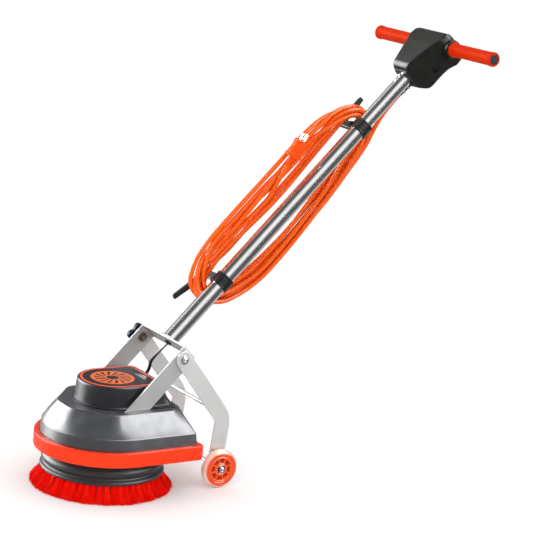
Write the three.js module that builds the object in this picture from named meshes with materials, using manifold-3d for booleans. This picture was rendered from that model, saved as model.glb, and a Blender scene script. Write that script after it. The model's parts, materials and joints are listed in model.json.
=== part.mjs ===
// A walk-behind rotary floor machine: a motor deck on a round brush, a handle that tilts on the deck,
// and a swinging wheel frame behind it. Millimetres, +Z up, +Y towards the operator, +X the operator's left.
import * as THREE from "three";
import { mergeVertices } from "three/addons/utils/BufferGeometryUtils.js";
import Module from "manifold-3d";

const wasm = await Module();
wasm.setup();

// ---- Driving dimensions ----
const GAP = 0.3; // kept between pieces that touch
const BRUSH_AXIS_Y = -350.85; // puts the origin under the middle of the whole machine

const BRUSH_PATH_R = 165;
const BLOCK_R = 142.5;
const BLOCK_BOTTOM = 37.5;
const BLOCK_TOP = 88;

const BUMPER_R = 162;
const BUMPER_FRONT_Y = 3; // centre of the round front
const BUMPER_REAR_Y = 173.5;
const BUMPER_WALL = 12;
const BUMPER_LOW = 86;
const BUMPER_HIGH = 119;

const BAND_TOP = 145;
const SHOULDER_Z = 176;
const PLATEAU_Z = 195.5;
const DECK_WALL = 3;
const SLOT_X = [91.5, 100];
const SLOT_Y = [-24, 125];

const COVER_R = 79; // half width of the motor cover's top
const COVER_Y = 11;
const COVER_TOP = 245.5;

const CHASSIS_Z = [119, 124];
const GLAND_AT = [-52, 230]; // x and z of the motor cable's way out of the cover
const GLAND_R = 6;
const MOTOR_R = 60;
const MOTOR_TOP = 228;
const SHAFT_R = 6;
const ROTOR_R = 35;
const FAN_BLADES = 7;
const CORE_Z = [142, 205]; // the wound part of the motor

const GEAR_MODULE = 1.5;
const SUN_TEETH = 9;
const PLANET_TEETH = 21;
const RING_TEETH = 51; // the motor turns 1 + 51 / 9 times for each turn of the brush
const GEAR_Z = [109, 118.5];
const PLANETS = 3;
const PLANET_PIN_R = 3;
const DRIVE_R = 12; // the spindle inside the brush
const DRIVE_LUGS = 3;
const SPINDLE_R = 16;

const HANDLE_ANGLE = THREE.MathUtils.degToRad(45.6); // of the handle tube above the floor
const YOKE_PIVOT = [0, 168]; // y and z of the handle's hinge in the deck
const YOKE_REACH = 216; // from that hinge to the bridge
const BAR_W = 44; // flat bar of the yoke
const BAR_T = 4;
const YOKE_HALF = 97.7;
const PIVOT_PIN_R = 6;

const TUBE_R = 19.3;
const TUBE_WALL = 1.6;
const TUBE_END = 701;
const UPPER_R = 17.5;
const UPPER_START = 560;
const UPPER_END = 925;
const CLAMP_LENGTH = 30;
const CLAMPS = [
  { name: "lower", base: 171, sign: -1, length: 108, lean: -11 }, // the hook's length and its finger's lean
  { name: "upper", base: 672, sign: 1, length: 92, lean: 0 },
];

const BAR_S = 966; // handlebar's place along the handle tube
const BAR_R = 12.5;
const GRIP_END = 226.5;
const GRIP_START = 74.5;
const GRIP_R = 16;
const BUTTON_R = 9;
const BUTTON_V = -9; // behind the handlebar's middle

const CLAMP_BOLT_R = 4.9;
const KNOB_LOBES = 5;
const KNOB_TURN = THREE.MathUtils.degToRad(152);
const ARM_PIVOT_S = -22; // wheel frame's hinge, along the handle tube
const ARM_BEND = [252.5, 159];
const WHEEL_CENTRE = [241, 45];
const ARM_X = [98.2, 102.2];
const ARM_HALF = 20;
const BRACE_AT = [223, 184];
const WHEEL_R = 45;
const WHEEL_X = [107.5, 132.5];
const HUB_R = 27;
const BEARING_R = 11;
const AXLE_R = 4;

const CORD_D = 11;
const HANK_X = [-58, -25];
// Hand-laid outlines of the wound cord, as [along the handle, behind the handle].
const HANK_OUTSIDE = [
  [124, 8], [136, -40], [188, -72], [269, -78], [386, -75], [506, -79], [599, -82], [662, -72],
  [719, -38], [738, 2], [728, 40], [702, 58], [650, 78], [540, 96], [428, 104], [370, 106],
  [300, 104], [225, 93], [165, 70], [136, 40],
];
const HANK_INSIDE = [
  [158, 10], [168, -10], [230, -15], [310, -13], [398, -11], [493, -13], [580, -19], [664, -15],
  [710, -6], [716, 12], [694, 30], [620, 42], [500, 56], [400, 62], [300, 58], [210, 44], [170, 28],
];
// Hand-laid route of the loose cord from the strain relief to the hank: [x, behind, along].
const CORD_ROUTE = [
  [-14, 27, 821.7], [-14, 27, 806], [-15, 28, 790], [-18, 31, 772], [-23, 37, 752], [-29, 46, 732],
  [-35, 56, 714], [-40, 65, 698], [-42, 71, 684],
];
const PLUG_AT = [-17.8, -70, 491];
const PLUG_LEAN = [23, 13]; // degrees about the handle's x and y
// Hand-laid route of the motor's cable from the gland to the bridge: [x, y, z].
const MOTOR_CABLE = [
  [-52, 120.6, 230], [-52, 126, 230], [-50, 132, 238], [-44, 132, 250], [-34, 128, 264], [-20, 128, 280],
  [-8, 136, 298], [-2, 143, 309], [0, 147, 314.8],
];

// ---- Solid tools ----
function solidOf(geometry) {
  const plain = geometry.index ? geometry.toNonIndexed() : geometry.clone();
  plain.deleteAttribute("normal");
  plain.deleteAttribute("uv");
  const merged = mergeVertices(plain, 1e-4);
  return new wasm.Manifold(
    new wasm.Mesh({
      numProp: 3,
      vertProperties: new Float32Array(merged.attributes.position.array),
      triVerts: new Uint32Array(merged.index.array),
    }),
  );
}

function geometryOf(solid) {
  const mesh = solid.getMesh();
  const positions = new Float32Array(mesh.numVert * 3);
  for (let i = 0; i < mesh.numVert; i++) {
    positions.set(mesh.vertProperties.subarray(i * mesh.numProp, i * mesh.numProp + 3), i * 3);
  }
  const geometry = new THREE.BufferGeometry();
  geometry.setAttribute("position", new THREE.BufferAttribute(positions, 3));
  geometry.setIndex(new THREE.BufferAttribute(mesh.triVerts, 1));
  return geometry;
}

const join = (...pieces) => geometryOf(pieces.map(solidOf).reduce((a, b) => a.add(b)));
const cut = (base, ...tools) =>
  geometryOf(tools.map(solidOf).reduce((a, b) => a.subtract(b), solidOf(base)));
const keepInside = (a, b) => geometryOf(solidOf(a).intersect(solidOf(b)));

function box(x, y, z) {
  const geometry = new THREE.BoxGeometry(x[1] - x[0], y[1] - y[0], z[1] - z[0]);
  return geometry.translate((x[0] + x[1]) / 2, (y[0] + y[1]) / 2, (z[0] + z[1]) / 2);
}

// A cylinder from low to high along "x", "y" or "z", through the point [a, b] of the other two axes.
function rod(axis, radius, low, high, a = 0, b = 0, sides = 16) {
  const geometry = new THREE.CylinderGeometry(radius, radius, high - low, sides);
  const middle = (low + high) / 2;
  if (axis === "x") {
    return geometry.rotateZ(-Math.PI / 2).translate(middle, a, b);
  }
  if (axis === "y") {
    return geometry.translate(a, middle, b);
  }
  return geometry.rotateX(Math.PI / 2).translate(a, b, middle);
}

// A turned solid about +Z from [radius, z] corners that close on themselves.
function turned(corners, sides = 20) {
  const points = [...corners, corners[0]].map(([r, z]) => new THREE.Vector2(r, z));
  return new THREE.LatheGeometry(points, sides).rotateX(Math.PI / 2);
}

const sleeve = (inner, outer, low, high, sides = 20) =>
  turned([[inner, low], [outer, low], [outer, high], [inner, high]], sides);

function extruded(shape, low, high, curveSegments = 8) {
  const options = { depth: high - low, bevelEnabled: false, curveSegments };
  return new THREE.ExtrudeGeometry(shape, options).translate(0, 0, low);
}

// Turns a solid drawn in x, y and extruded along z into one drawn in y, z and extruded along x.
function sideways(geometry) {
  const axes = new THREE.Matrix4().makeBasis(
    new THREE.Vector3(0, 1, 0),
    new THREE.Vector3(0, 0, 1),
    new THREE.Vector3(1, 0, 0),
  );
  return geometry.applyMatrix4(axes);
}

// Two values on one side of the middle plane, smaller first.
const onSide = (side, values) => values.map((value) => side * value).sort((a, b) => a - b);

function roundedPolygon(corners, radius) {
  const points = corners.map(([x, y]) => new THREE.Vector2(x, y));
  const shape = new THREE.Shape();
  points.forEach((corner, i) => {
    const before = points[(i + points.length - 1) % points.length];
    const after = points[(i + 1) % points.length];
    const enter = before.clone().sub(corner).setLength(radius).add(corner);
    const leave = after.clone().sub(corner).setLength(radius).add(corner);
    if (i === 0) {
      shape.moveTo(enter.x, enter.y);
    } else {
      shape.lineTo(enter.x, enter.y);
    }
    shape.quadraticCurveTo(corner.x, corner.y, leave.x, leave.y);
  });
  shape.closePath();
  return shape;
}

// A flat plan with a round front, straight sides and a squared rear.
function deckPlan(radius, frontY, rearY, corner) {
  const shape = new THREE.Shape();
  shape.moveTo(radius, frontY);
  shape.lineTo(radius, rearY - corner);
  shape.absarc(radius - corner, rearY - corner, corner, 0, Math.PI / 2, false);
  shape.lineTo(corner - radius, rearY);
  shape.absarc(corner - radius, rearY - corner, corner, Math.PI / 2, Math.PI, false);
  shape.lineTo(-radius, frontY);
  shape.absarc(0, frontY, radius, Math.PI, 2 * Math.PI, false);
  return shape;
}

// Points of an outline where rays from [0, centreY] at the given angles, in degrees, cross it.
function rayRing(shape, centreY, angles) {
  const outline = shape.getPoints(14);
  const centre = new THREE.Vector2(0, centreY);
  return angles.map((degrees) => {
    const angle = THREE.MathUtils.degToRad(degrees);
    const ray = new THREE.Vector2(Math.cos(angle), Math.sin(angle));
    let reach = 0;
    outline.forEach((from, i) => {
      const side = outline[(i + 1) % outline.length].clone().sub(from);
      const across = ray.cross(side);
      if (Math.abs(across) < 1e-9) {
        return;
      }
      const start = from.clone().sub(centre);
      const along = start.cross(side) / across;
      const part = start.cross(ray) / across;
      if (part > -1e-6 && part < 1 + 1e-6) {
        reach = Math.max(reach, along);
      }
    });
    return ray.multiplyScalar(reach).add(centre);
  });
}

// A closed solid through outlines stacked along +Z: [z, ring] pairs whose rings have equal counts.
function loft(levels) {
  const count = levels[0][1].length;
  const positions = [];
  const faces = [];
  levels.forEach(([z, ring]) => ring.forEach((p) => positions.push(p.x, p.y, z)));
  for (let level = 0; level + 1 < levels.length; level++) {
    for (let k = 0; k < count; k++) {
      const a = level * count + k;
      const b = level * count + ((k + 1) % count);
      faces.push(a, b, b + count, a, b + count, a + count);
    }
  }
  const ends = [levels[0], levels[levels.length - 1]];
  ends.forEach(([z, ring], end) => {
    const first = end === 0 ? 0 : (levels.length - 1) * count;
    const middle = positions.length / 3;
    const y = ring.reduce((sum, p) => sum + p.y, 0) / count;
    positions.push(0, y, z);
    for (let k = 0; k < count; k++) {
      const a = first + k;
      const b = first + ((k + 1) % count);
      faces.push(...(end === 0 ? [b, a, middle] : [a, b, middle]));
    }
  });
  const geometry = new THREE.BufferGeometry();
  geometry.setAttribute("position", new THREE.Float32BufferAttribute(positions, 3));
  geometry.setIndex(faces);
  return geometry;
}

function tubeAlong(points, radius, sides, steps) {
  const curve = new THREE.CatmullRomCurve3(points.map((p) => new THREE.Vector3(...p)), false, "centripetal");
  const section = new THREE.Shape().absarc(0, 0, radius, 0, 2 * Math.PI, false);
  return new THREE.ExtrudeGeometry(section, { steps, curveSegments: sides / 2, extrudePath: curve });
}

function gearShape(teeth, tip, root, share) {
  const pitch = (2 * Math.PI) / teeth;
  const shape = new THREE.Shape();
  for (let k = 0; k < teeth; k++) {
    const centre = k * pitch;
    const corners = [
      [root, -share * 0.62], [tip, -share * 0.3], [tip, share * 0.3], [root, share * 0.62],
    ];
    corners.forEach(([radius, turn], i) => {
      const angle = centre + turn * pitch;
      const x = radius * Math.cos(angle);
      const y = radius * Math.sin(angle);
      if (k === 0 && i === 0) {
        shape.moveTo(x, y);
      } else {
        shape.lineTo(x, y);
      }
    });
  }
  shape.closePath();
  return shape;
}

// ---- Materials ----
const paint = (color, roughness, metalness = 0) =>
  new THREE.MeshStandardMaterial({ color, roughness, metalness });
const deckPlastic = paint(0x2b2c2e, 0.45);
const blackPlastic = paint(0x171819, 0.5);
const bumperOrange = paint(0xf04a1a, 0.3);
const gripOrange = paint(0xee4a12, 0.55);
const bristleRed = paint(0xe8190f, 0.6);
const barSteel = paint(0xb4b6b7, 0.42, 0.8);
const polishedSteel = paint(0xc9cacb, 0.22, 1);
const plainSteel = paint(0x8e9194, 0.4, 0.9);
const castMetal = paint(0x8b8d90, 0.5, 0.7);
const tyreClear = paint(0xf8774a, 0.15);
const copper = paint(0xa8622e, 0.4, 0.8);

const machine = new THREE.Group();
machine.position.y = BRUSH_AXIS_Y;

function add(group, name, geometry, material) {
  const mesh = new THREE.Mesh(geometry, material);
  mesh.name = name;
  group.add(mesh);
  return mesh;
}

// ---- Deck ----
const deck = new THREE.Group();
machine.add(deck);
const RING_Y = 25; // where the rays that shape the deck and the cover start
const REAR_RAYS = [0, 18, 34, 38, 41, 44, 49, 54, 60, 75]; // closest together at the rear corners
const FRONT_RAYS = [195, 210, 224, 237, 249, 260];
const mirrored = (angles, about) => angles.map((angle) => 2 * about - angle).reverse();
const DECK_REAR = [...REAR_RAYS, 90, ...mirrored(REAR_RAYS, 90)];
const DECK_RAYS = [...DECK_REAR, ...FRONT_RAYS, 270, ...mirrored(FRONT_RAYS, 270)];

function bumperPlan(inset) {
  const corner = Math.max(14 - inset / 2, 6);
  return deckPlan(BUMPER_R - inset, BUMPER_FRONT_Y, BUMPER_REAR_Y - inset, corner);
}

// A plan that is the same on both sides, from the corners of its +X half, front first.
function evenPlan(half, corner) {
  const other = half.map(([x, y]) => [-x, y]).reverse();
  return roundedPolygon([...half, ...other], corner);
}

function plateauPlan(inset) {
  const half = 121 - inset;
  return evenPlan([[34, inset - 112], [half, -38], [half, 112], [100 - inset / 2, 140 - inset]], 11);
}

function shoulderPlan(inset) {
  const half = 134 - inset;
  return evenPlan(
    [[48, inset - 131], [half - 16, -84], [half, 0], [half, 130], [half - 16, 156 - inset]],
    14,
  );
}

function deckBody(inset, low, top) {
  const at = (z, shape) => [z, rayRing(shape, RING_Y, DECK_RAYS)];
  const skirt = BUMPER_WALL + 0.7 + inset;
  return loft([
    at(low, bumperPlan(skirt)),
    at(BUMPER_HIGH + 1, bumperPlan(skirt)),
    at(BAND_TOP, bumperPlan(skirt + 3)),
    at(SHOULDER_Z, shoulderPlan(inset)),
    at(top, plateauPlan(inset)),
  ]);
}

function coverPlan(half, rear, corner) {
  return deckPlan(half, COVER_Y, rear, corner);
}

function coverBody(inset, low, top) {
  const plan = (half, rear) => coverPlan(half - inset, rear - inset, 16);
  const at = (z, half, rear) => [z, rayRing(plan(half, rear), RING_Y, DECK_RAYS)];
  return loft([
    at(low, 84, 132),
    at(PLATEAU_Z + 6, 83.5, 127),
    at(PLATEAU_Z + 24, 82, 113),
    at(top - 4, COVER_R + 1, 108),
    at(top, COVER_R - 2, 105),
  ]);
}

function deckShell() {
  const slots = [-1, 1].map((side) => {
    return box(onSide(side, SLOT_X), SLOT_Y, [PLATEAU_Z - 20, PLATEAU_Z + 5]);
  });
  const motorHole = extruded(coverPlan(72, 98, 14), PLATEAU_Z - 20, PLATEAU_Z + 5, 8);
  const inside = deckBody(DECK_WALL, 0, PLATEAU_Z - DECK_WALL);
  return cut(deckBody(0, BUMPER_LOW + 4, PLATEAU_Z), inside, motorHole, ...slots);
}

function motorCover() {
  const flange = extruded(coverPlan(88, 133, 18), PLATEAU_Z + GAP, PLATEAU_Z + 3, 8);
  const shell = join(coverBody(0, PLATEAU_Z + GAP, COVER_TOP), flange);
  const inside = coverBody(DECK_WALL, 0, COVER_TOP - DECK_WALL);
  return cut(shell, inside, rod("y", GLAND_R + GAP, 90, 130, ...GLAND_AT, 16));
}

const coverLabel = () => extruded(coverPlan(COVER_R - 5, 101, 14), COVER_TOP + GAP, COVER_TOP + 1.2, 8);

function bumperBand() {
  const inside = extruded(bumperPlan(BUMPER_WALL), BUMPER_LOW - 5, BUMPER_HIGH + 5, 10);
  return cut(extruded(bumperPlan(0), BUMPER_LOW, BUMPER_HIGH, 10), inside);
}

function chassisPlate() {
  const plan = deckPlan(BUMPER_R - 26, BUMPER_FRONT_Y, BUMPER_REAR_Y - 26, 24);
  return cut(extruded(plan, ...CHASSIS_Z, 8), rod("z", 10, 100, 140));
}

function motorHousing() {
  const low = CHASSIS_Z[1] + GAP;
  const hole = SHAFT_R + 2;
  const inside = MOTOR_R - 2;
  const corners = [
    [hole, low], [MOTOR_R, low], [MOTOR_R, MOTOR_TOP], [hole, MOTOR_TOP], [hole, MOTOR_TOP - 2],
    [inside, MOTOR_TOP - 2], [inside, low + 3], [hole, low + 3],
  ];
  return turned(corners, 24);
}

const stator = () => sleeve(ROTOR_R + 1, MOTOR_R - 3, ...CORE_Z, 24);
const runCapacitor = () => rod("x", 16, -38, 38, 92, CHASSIS_Z[1] + 16.4, 24);

function gearboxHousing() {
  const top = CHASSIS_Z[0] - GAP;
  const corners = [
    [38, 93.6], [38, 100], [52, 100], [52, 114], [60, 114], [60, top], [46.6, top], [46.6, 103.7],
    [32, 103.7], [32, 93.6],
  ];
  return turned(corners, 24);
}

function ringGear() {
  const pitchR = (GEAR_MODULE * RING_TEETH) / 2;
  const shape = new THREE.Shape().absarc(0, 0, 45.8, 0, 2 * Math.PI, false);
  const space = gearShape(RING_TEETH, pitchR + 1.2 * GEAR_MODULE, pitchR - 0.7 * GEAR_MODULE, 0.6);
  const hole = new THREE.Path(space.getPoints());
  shape.holes.push(hole);
  return extruded(shape, ...GEAR_Z, 14);
}

const spindleBearing = () => sleeve(SPINDLE_R + GAP, 31.7, 94.5, 103, 24);

function pivotBracket(side) {
  const [y, z] = YOKE_PIVOT;
  const low = CHASSIS_Z[1] + GAP;
  const foot = box([66, 90], [y - 20, y + 20], [low, low + 3.7]);
  const plate = box([86, 90], [y - 16, y + 16], [low, z]);
  const eye = rod("x", 16, 86, 90, y, z);
  const pin = rod("x", PIVOT_PIN_R, 88, 101.5, y, z, 20);
  const washer = rod("x", 10, YOKE_HALF + 0.7, 101.5, y, z, 20);
  const bracket = join(foot, plate, eye, pin, washer);
  return side > 0 ? bracket : bracket.rotateZ(Math.PI).translate(0, 2 * y, 0);
}

const cableGland = () =>
  join(rod("y", GLAND_R, 100, 116, ...GLAND_AT, 16), rod("y", GLAND_R + 3, 114.6, 120, ...GLAND_AT, 6));

add(deck, "deck_shell", deckShell(), deckPlastic);
add(deck, "bumper_band", bumperBand(), bumperOrange);
add(deck, "motor_cover", motorCover(), deckPlastic);
add(deck, "cover_label", coverLabel(), blackPlastic);
add(deck, "chassis_plate", chassisPlate(), castMetal);
add(deck, "motor_housing", motorHousing(), castMetal);
add(deck, "stator_core", stator(), copper);
add(deck, "run_capacitor", runCapacitor(), blackPlastic);
add(deck, "gearbox_housing", gearboxHousing(), castMetal);
add(deck, "ring_gear", ringGear(), plainSteel);
add(deck, "spindle_bearing", spindleBearing(), plainSteel);
add(deck, "left_pivot_bracket", pivotBracket(1), plainSteel);
add(deck, "right_pivot_bracket", pivotBracket(-1), plainSteel);
add(deck, "cable_gland", cableGland(), blackPlastic);

// ---- Rotor and planets ----
const externalGear = (teeth) => {
  const pitchR = (GEAR_MODULE * teeth) / 2;
  return gearShape(teeth, pitchR + 0.7 * GEAR_MODULE, pitchR - 1.05 * GEAR_MODULE, 0.5);
};

function motorShaft() {
  const sun = extruded(externalGear(SUN_TEETH), GEAR_Z[0] - 0.2, GEAR_Z[1] + 1.2);
  return join(sun, rod("z", SHAFT_R, GEAR_Z[1] + 0.7, MOTOR_TOP + 8, 0, 0, 20));
}

function coolingFan() {
  const blades = [];
  for (let k = 0; k < FAN_BLADES; k++) {
    blades.push(box([10, 50], [-1.2, 1.2], [129.5, 139]).rotateZ((2 * Math.PI * k) / FAN_BLADES));
  }
  return join(sleeve(SHAFT_R + GAP, 14, 129, 139, 16), sleeve(12, 52, 128.5, 130.5, 24), ...blades);
}

add(deck, "motor_shaft", motorShaft(), plainSteel);
add(deck, "rotor_core", sleeve(SHAFT_R + GAP, ROTOR_R, ...CORE_Z, 24), plainSteel);
add(deck, "cooling_fan", coolingFan(), blackPlastic);

const planetOrbit = (GEAR_MODULE * (SUN_TEETH + PLANET_TEETH)) / 2;
for (let k = 0; k < PLANETS; k++) {
  const shape = externalGear(PLANET_TEETH);
  shape.holes.push(new THREE.Path().absarc(0, 0, PLANET_PIN_R + GAP, 0, 2 * Math.PI, true));
  const planet = extruded(shape, ...GEAR_Z, 6).translate(planetOrbit, 0, 0);
  add(deck, `planet_gear_${k + 1}`, planet.rotateZ((2 * Math.PI * k) / PLANETS), plainSteel);
}

// ---- Brush ----
const brush = new THREE.Group();
machine.add(brush);

function planetCarrier() {
  const pins = [];
  for (let k = 0; k < PLANETS; k++) {
    const pin = rod("z", PLANET_PIN_R, 107, GEAR_Z[1], planetOrbit, 0, 12);
    pins.push(pin.rotateZ((2 * Math.PI * k) / PLANETS));
  }
  const corners = [
    [0, 58.3], [DRIVE_R, 58.3], [DRIVE_R, 93.3], [SPINDLE_R, 93.3], [SPINDLE_R, 104.3], [32, 104.3],
    [32, 108.2], [0, 108.2],
  ];
  return join(turned(corners, 24), ...pins);
}

function driverPlate() {
  const lugs = [];
  for (let k = 0; k < DRIVE_LUGS; k++) {
    lugs.push(box([44, 62], [-9, 9], [89, 93]).rotateZ((2 * Math.PI * k) / DRIVE_LUGS + 0.5));
  }
  return join(sleeve(DRIVE_R + 0.4, 52, BLOCK_TOP + GAP, 92, 24), ...lugs);
}

function brushBlock() {
  return turned([
    [20, 58], [90, 58], [94, BLOCK_BOTTOM], [BLOCK_R, BLOCK_BOTTOM], [BLOCK_R - 1.5, 45], [134, 50.5],
    [140.5, 57], [139, 66], [130, BLOCK_TOP], [20, BLOCK_TOP],
  ], 32);
}

function bristleRing() {
  const top = BLOCK_BOTTOM - GAP;
  return turned([[100, top], [112, 0], [BRUSH_PATH_R, 0], [140, top]], 32);
}

const spindleBolt = () => join(rod("z", 26, 54, 57.7), rod("z", 10, 47, 55, 0, 0, 6));

add(brush, "planet_carrier", planetCarrier(), plainSteel);
add(brush, "driver_plate", driverPlate(), castMetal);
add(brush, "brush_block", brushBlock(), deckPlastic);
add(brush, "bristle_ring", bristleRing(), bristleRed);
add(brush, "spindle_bolt", spindleBolt(), plainSteel);

// ---- Handle: drawn upright, z along the tube from the bridge, +y behind it, then leant over ----
const handle = new THREE.Group();
handle.rotation.x = HANDLE_ANGLE - Math.PI / 2;
handle.position.set(
  0,
  YOKE_PIVOT[0] + YOKE_REACH * Math.cos(HANDLE_ANGLE),
  YOKE_PIVOT[1] + YOKE_REACH * Math.sin(HANDLE_ANGLE),
);
machine.add(handle);

function yokeBracket() {
  const inner = YOKE_HALF - BAR_T;
  const high = BAR_T / 2;
  const low = -YOKE_REACH;
  const corners = [[-YOKE_HALF, low], [YOKE_HALF, low], [YOKE_HALF, high], [-YOKE_HALF, high]];
  const bent = extruded(roundedPolygon(corners, 6), -BAR_W / 2, BAR_W / 2, 3).rotateX(Math.PI / 2);
  const opening = box([-inner, inner], [-50, 50], [low - 10, -high]);
  const square = box([-200, 200], [-50, 50], [low - 10, low + 8]);
  const legEnds = [-1, 1].flatMap((side) => {
    const x = onSide(side, [inner, YOKE_HALF]);
    const leg = box(x, [-BAR_W / 2, BAR_W / 2], [low, low + 12]);
    return [leg, rod("x", BAR_W / 2, ...x, 0, low, 20)];
  });
  const frame = join(cut(bent, opening, square), ...legEnds);
  return cut(
    frame,
    rod("x", PIVOT_PIN_R + GAP, -120, 120, 0, low, 20),
    rod("x", CLAMP_BOLT_R + 0.4, -120, 120, 0, ARM_PIVOT_S, 16),
    rod("z", 7 + GAP, -20, 20, 0, 0, 16),
  );
}

function hookClamp(base) {
  const ring = sleeve(TUBE_R + GAP, TUBE_R + 3.4, base, base + CLAMP_LENGTH, 28);
  const rib = box([7, 12], [-TUBE_R - 3.6, -TUBE_R + 2.5], [base + 1, base + CLAMP_LENGTH - 1]);
  const outside = cut(rib, rod("z", TUBE_R + GAP, base - 5, base + CLAMP_LENGTH + 5, 0, 0, 28));
  return join(ring, outside);
}

function cordHook({ base, sign, length, lean }) {
  const near = base + (sign > 0 ? 2 : CLAMP_LENGTH - 2);
  const reach = (value) => near + sign * value;
  const flat = (corners) => {
    const placed = corners.map(([x, along]) => [x, reach(along)]);
    const outline = roundedPolygon(sign > 0 ? placed.reverse() : placed, 3.5);
    return extruded(outline, -6, 6, 2).rotateX(Math.PI / 2);
  };
  const arm = flat([[-18, 0], [-78, 2], [-86, 14], [-84, 28], [-71, 28], [-62, 19], [-40, 22], [-18, 27]]);
  const finger = flat([[-86, 12], [-88, length - 4], [-78, length], [-70, 18]]);
  const root = reach(16);
  finger.translate(0, 0, -root).rotateX(THREE.MathUtils.degToRad(lean)).translate(0, 0, root);
  return cut(join(arm, finger), rod("z", TUBE_R + 3.7, base - 40, base + 70, 0, 0, 28));
}

// Sections of the head: [along, half width in front, half width behind, front, rear]
const HEAD_LEVELS = [
  [858, 31, 29, -27, 35], [886, 38, 35, -36, 47], [915, 49, 36, -39, 48],
  [937, 58, 39, -40, 48], [948, 63, 50, -39, 48], [957, 65, 64, -38, 47], [977, 65, 64, -36, 44],
  [987, 60, 59, -28, 35], [991, 50, 49, -18, 24],
];
const HEAD_SPLIT = 8; // where its front and rear shells meet
const HEAD_QUARTER = [0, 20, 33, 43, 58, 75];
const HEAD_HALF = [...HEAD_QUARTER, 90, ...mirrored(HEAD_QUARTER, 90)];
const HEAD_RAYS = [...HEAD_HALF, ...HEAD_HALF.slice(1, -1).map((angle) => 180 + angle)];

function headBlock(inset) {
  const levels = HEAD_LEVELS.map(([s, front, rear, low, high]) => {
    const plan = evenPlan([[front - inset, low + inset], [rear - inset, high - inset]], 12);
    return [s, rayRing(plan, 4, HEAD_RAYS)];
  });
  if (inset === 0) {
    return loft(levels);
  }
  levels[0][0] += inset;
  levels[levels.length - 1][0] -= inset;
  return loft(levels);
}

function headShell(front) {
  const collars = rod("x", 21, -GRIP_START + GAP, GRIP_START - GAP, 0, BAR_S, 20);
  const whole = cut(
    join(headBlock(0), collars),
    headBlock(3),
    rod("x", BAR_R + GAP, -120, 120, 0, BAR_S, 24),
    rod("z", UPPER_R + 0.6, 840, 900, 0, 0, 24),
    box([-24, 24], [35, 60], [880, 945]),
    rod("z", BUTTON_R + 0.4, 975, 1000, 0, BUTTON_V, 20),
  );
  const depth = front ? [-200, HEAD_SPLIT - GAP / 2] : [HEAD_SPLIT + GAP / 2, 200];
  return keepInside(whole, box([-200, 200], depth, [800, 1100]));
}

function grip() {
  const end = GRIP_END;
  const start = GRIP_START;
  const bore = BAR_R + GAP;
  return turned([
    [bore, start], [GRIP_R + 2, start], [GRIP_R + 2, start + 5], [GRIP_R, start + 8],
    [GRIP_R, end - 14], [GRIP_R + 1.5, end - 13], [GRIP_R + 1.5, end - 2], [GRIP_R, end],
    [10, end], [10, end - 3], [bore, end - 3],
  ], 18);
}

function triggerLever() {
  const side = [[42, 883], [49, 883], [53, 900], [51, 930], [49, 941], [40, 941], [40, 932]];
  return sideways(extruded(roundedPolygon(side, 3), -22.5, 22.5, 3));
}

add(handle, "yoke_bracket", yokeBracket(), barSteel);
const lowerTube = sleeve(TUBE_R - TUBE_WALL, TUBE_R, BAR_T / 2 + GAP, TUBE_END, 28);
add(handle, "lower_tube", lowerTube, polishedSteel);
const upperTube = sleeve(UPPER_R - TUBE_WALL, UPPER_R, UPPER_START, UPPER_END, 28);
add(handle, "upper_tube", upperTube, polishedSteel);
CLAMPS.forEach((clamp) => {
  add(handle, `${clamp.name}_hook_clamp`, hookClamp(clamp.base), blackPlastic);
  add(handle, `${clamp.name}_cord_hook`, cordHook(clamp), blackPlastic);
});
add(handle, "head_front_shell", headShell(true), blackPlastic);
add(handle, "head_rear_shell", headShell(false), blackPlastic);
const acrossHandle = (geometry, side) => geometry.rotateY((side * Math.PI) / 2).translate(0, 0, BAR_S);
const bar = sleeve(BAR_R - 2, BAR_R, -GRIP_END + 3.4, GRIP_END - 3.4, 18);
add(handle, "handlebar", acrossHandle(bar, 1), plainSteel);
add(handle, "left_grip", acrossHandle(grip(), 1), gripOrange);
add(handle, "right_grip", acrossHandle(grip(), -1), gripOrange);
add(handle, "trigger_lever", triggerLever(), blackPlastic);
add(handle, "lock_button", rod("z", BUTTON_R, 984, 996, 0, BUTTON_V, 20), bumperOrange);
add(handle, "switch_block", box([-12, 12], [18.5, 34], [890, 924]), blackPlastic);
const grommet = join(sleeve(4.4, 7, -6, 1.5, 16), sleeve(4.4, 10, -6, -2.3, 16));
add(handle, "cable_grommet", grommet, blackPlastic);

function leftPivotBolt() {
  const along = (radius, low, high, sides) => rod("x", radius, low, high, 0, ARM_PIVOT_S, sides);
  const shank = along(CLAMP_BOLT_R, 88, 106, 16);
  const head = along(8.5, ARM_X[1] + GAP, 107.5, 20);
  const nut = along(8.5, 88, YOKE_HALF - BAR_T - GAP, 6);
  return join(shank, head, nut);
}

function clampNut() {
  const washer = sleeve(CLAMP_BOLT_R + 0.4, 11, 0, 2, 20);
  const nut = sleeve(CLAMP_BOLT_R + 1, 8.5, 1.5, 6, 6);
  return join(washer, nut).rotateY(Math.PI / 2).translate(-YOKE_HALF + BAR_T + GAP, 0, ARM_PIVOT_S);
}

function clampKnob() {
  const thick = [-119, -106];
  const pieces = [
    rod("x", 24, ...thick),
    rod("x", 12, -108, -ARM_X[1] - GAP, 0, 0, 20),
    rod("x", CLAMP_BOLT_R, -108, -87),
  ];
  for (let k = 0; k < KNOB_LOBES; k++) {
    const angle = (2 * Math.PI * k) / KNOB_LOBES;
    pieces.push(rod("x", 9, ...thick, 26 * Math.cos(angle), 26 * Math.sin(angle), 14));
  }
  return join(...pieces).rotateX(KNOB_TURN).translate(0, 0, ARM_PIVOT_S);
}

add(handle, "left_pivot_bolt", leftPivotBolt(), polishedSteel);
add(handle, "clamp_nut", clampNut(), plainSteel);
add(handle, "clamp_knob", clampKnob(), blackPlastic);

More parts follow.
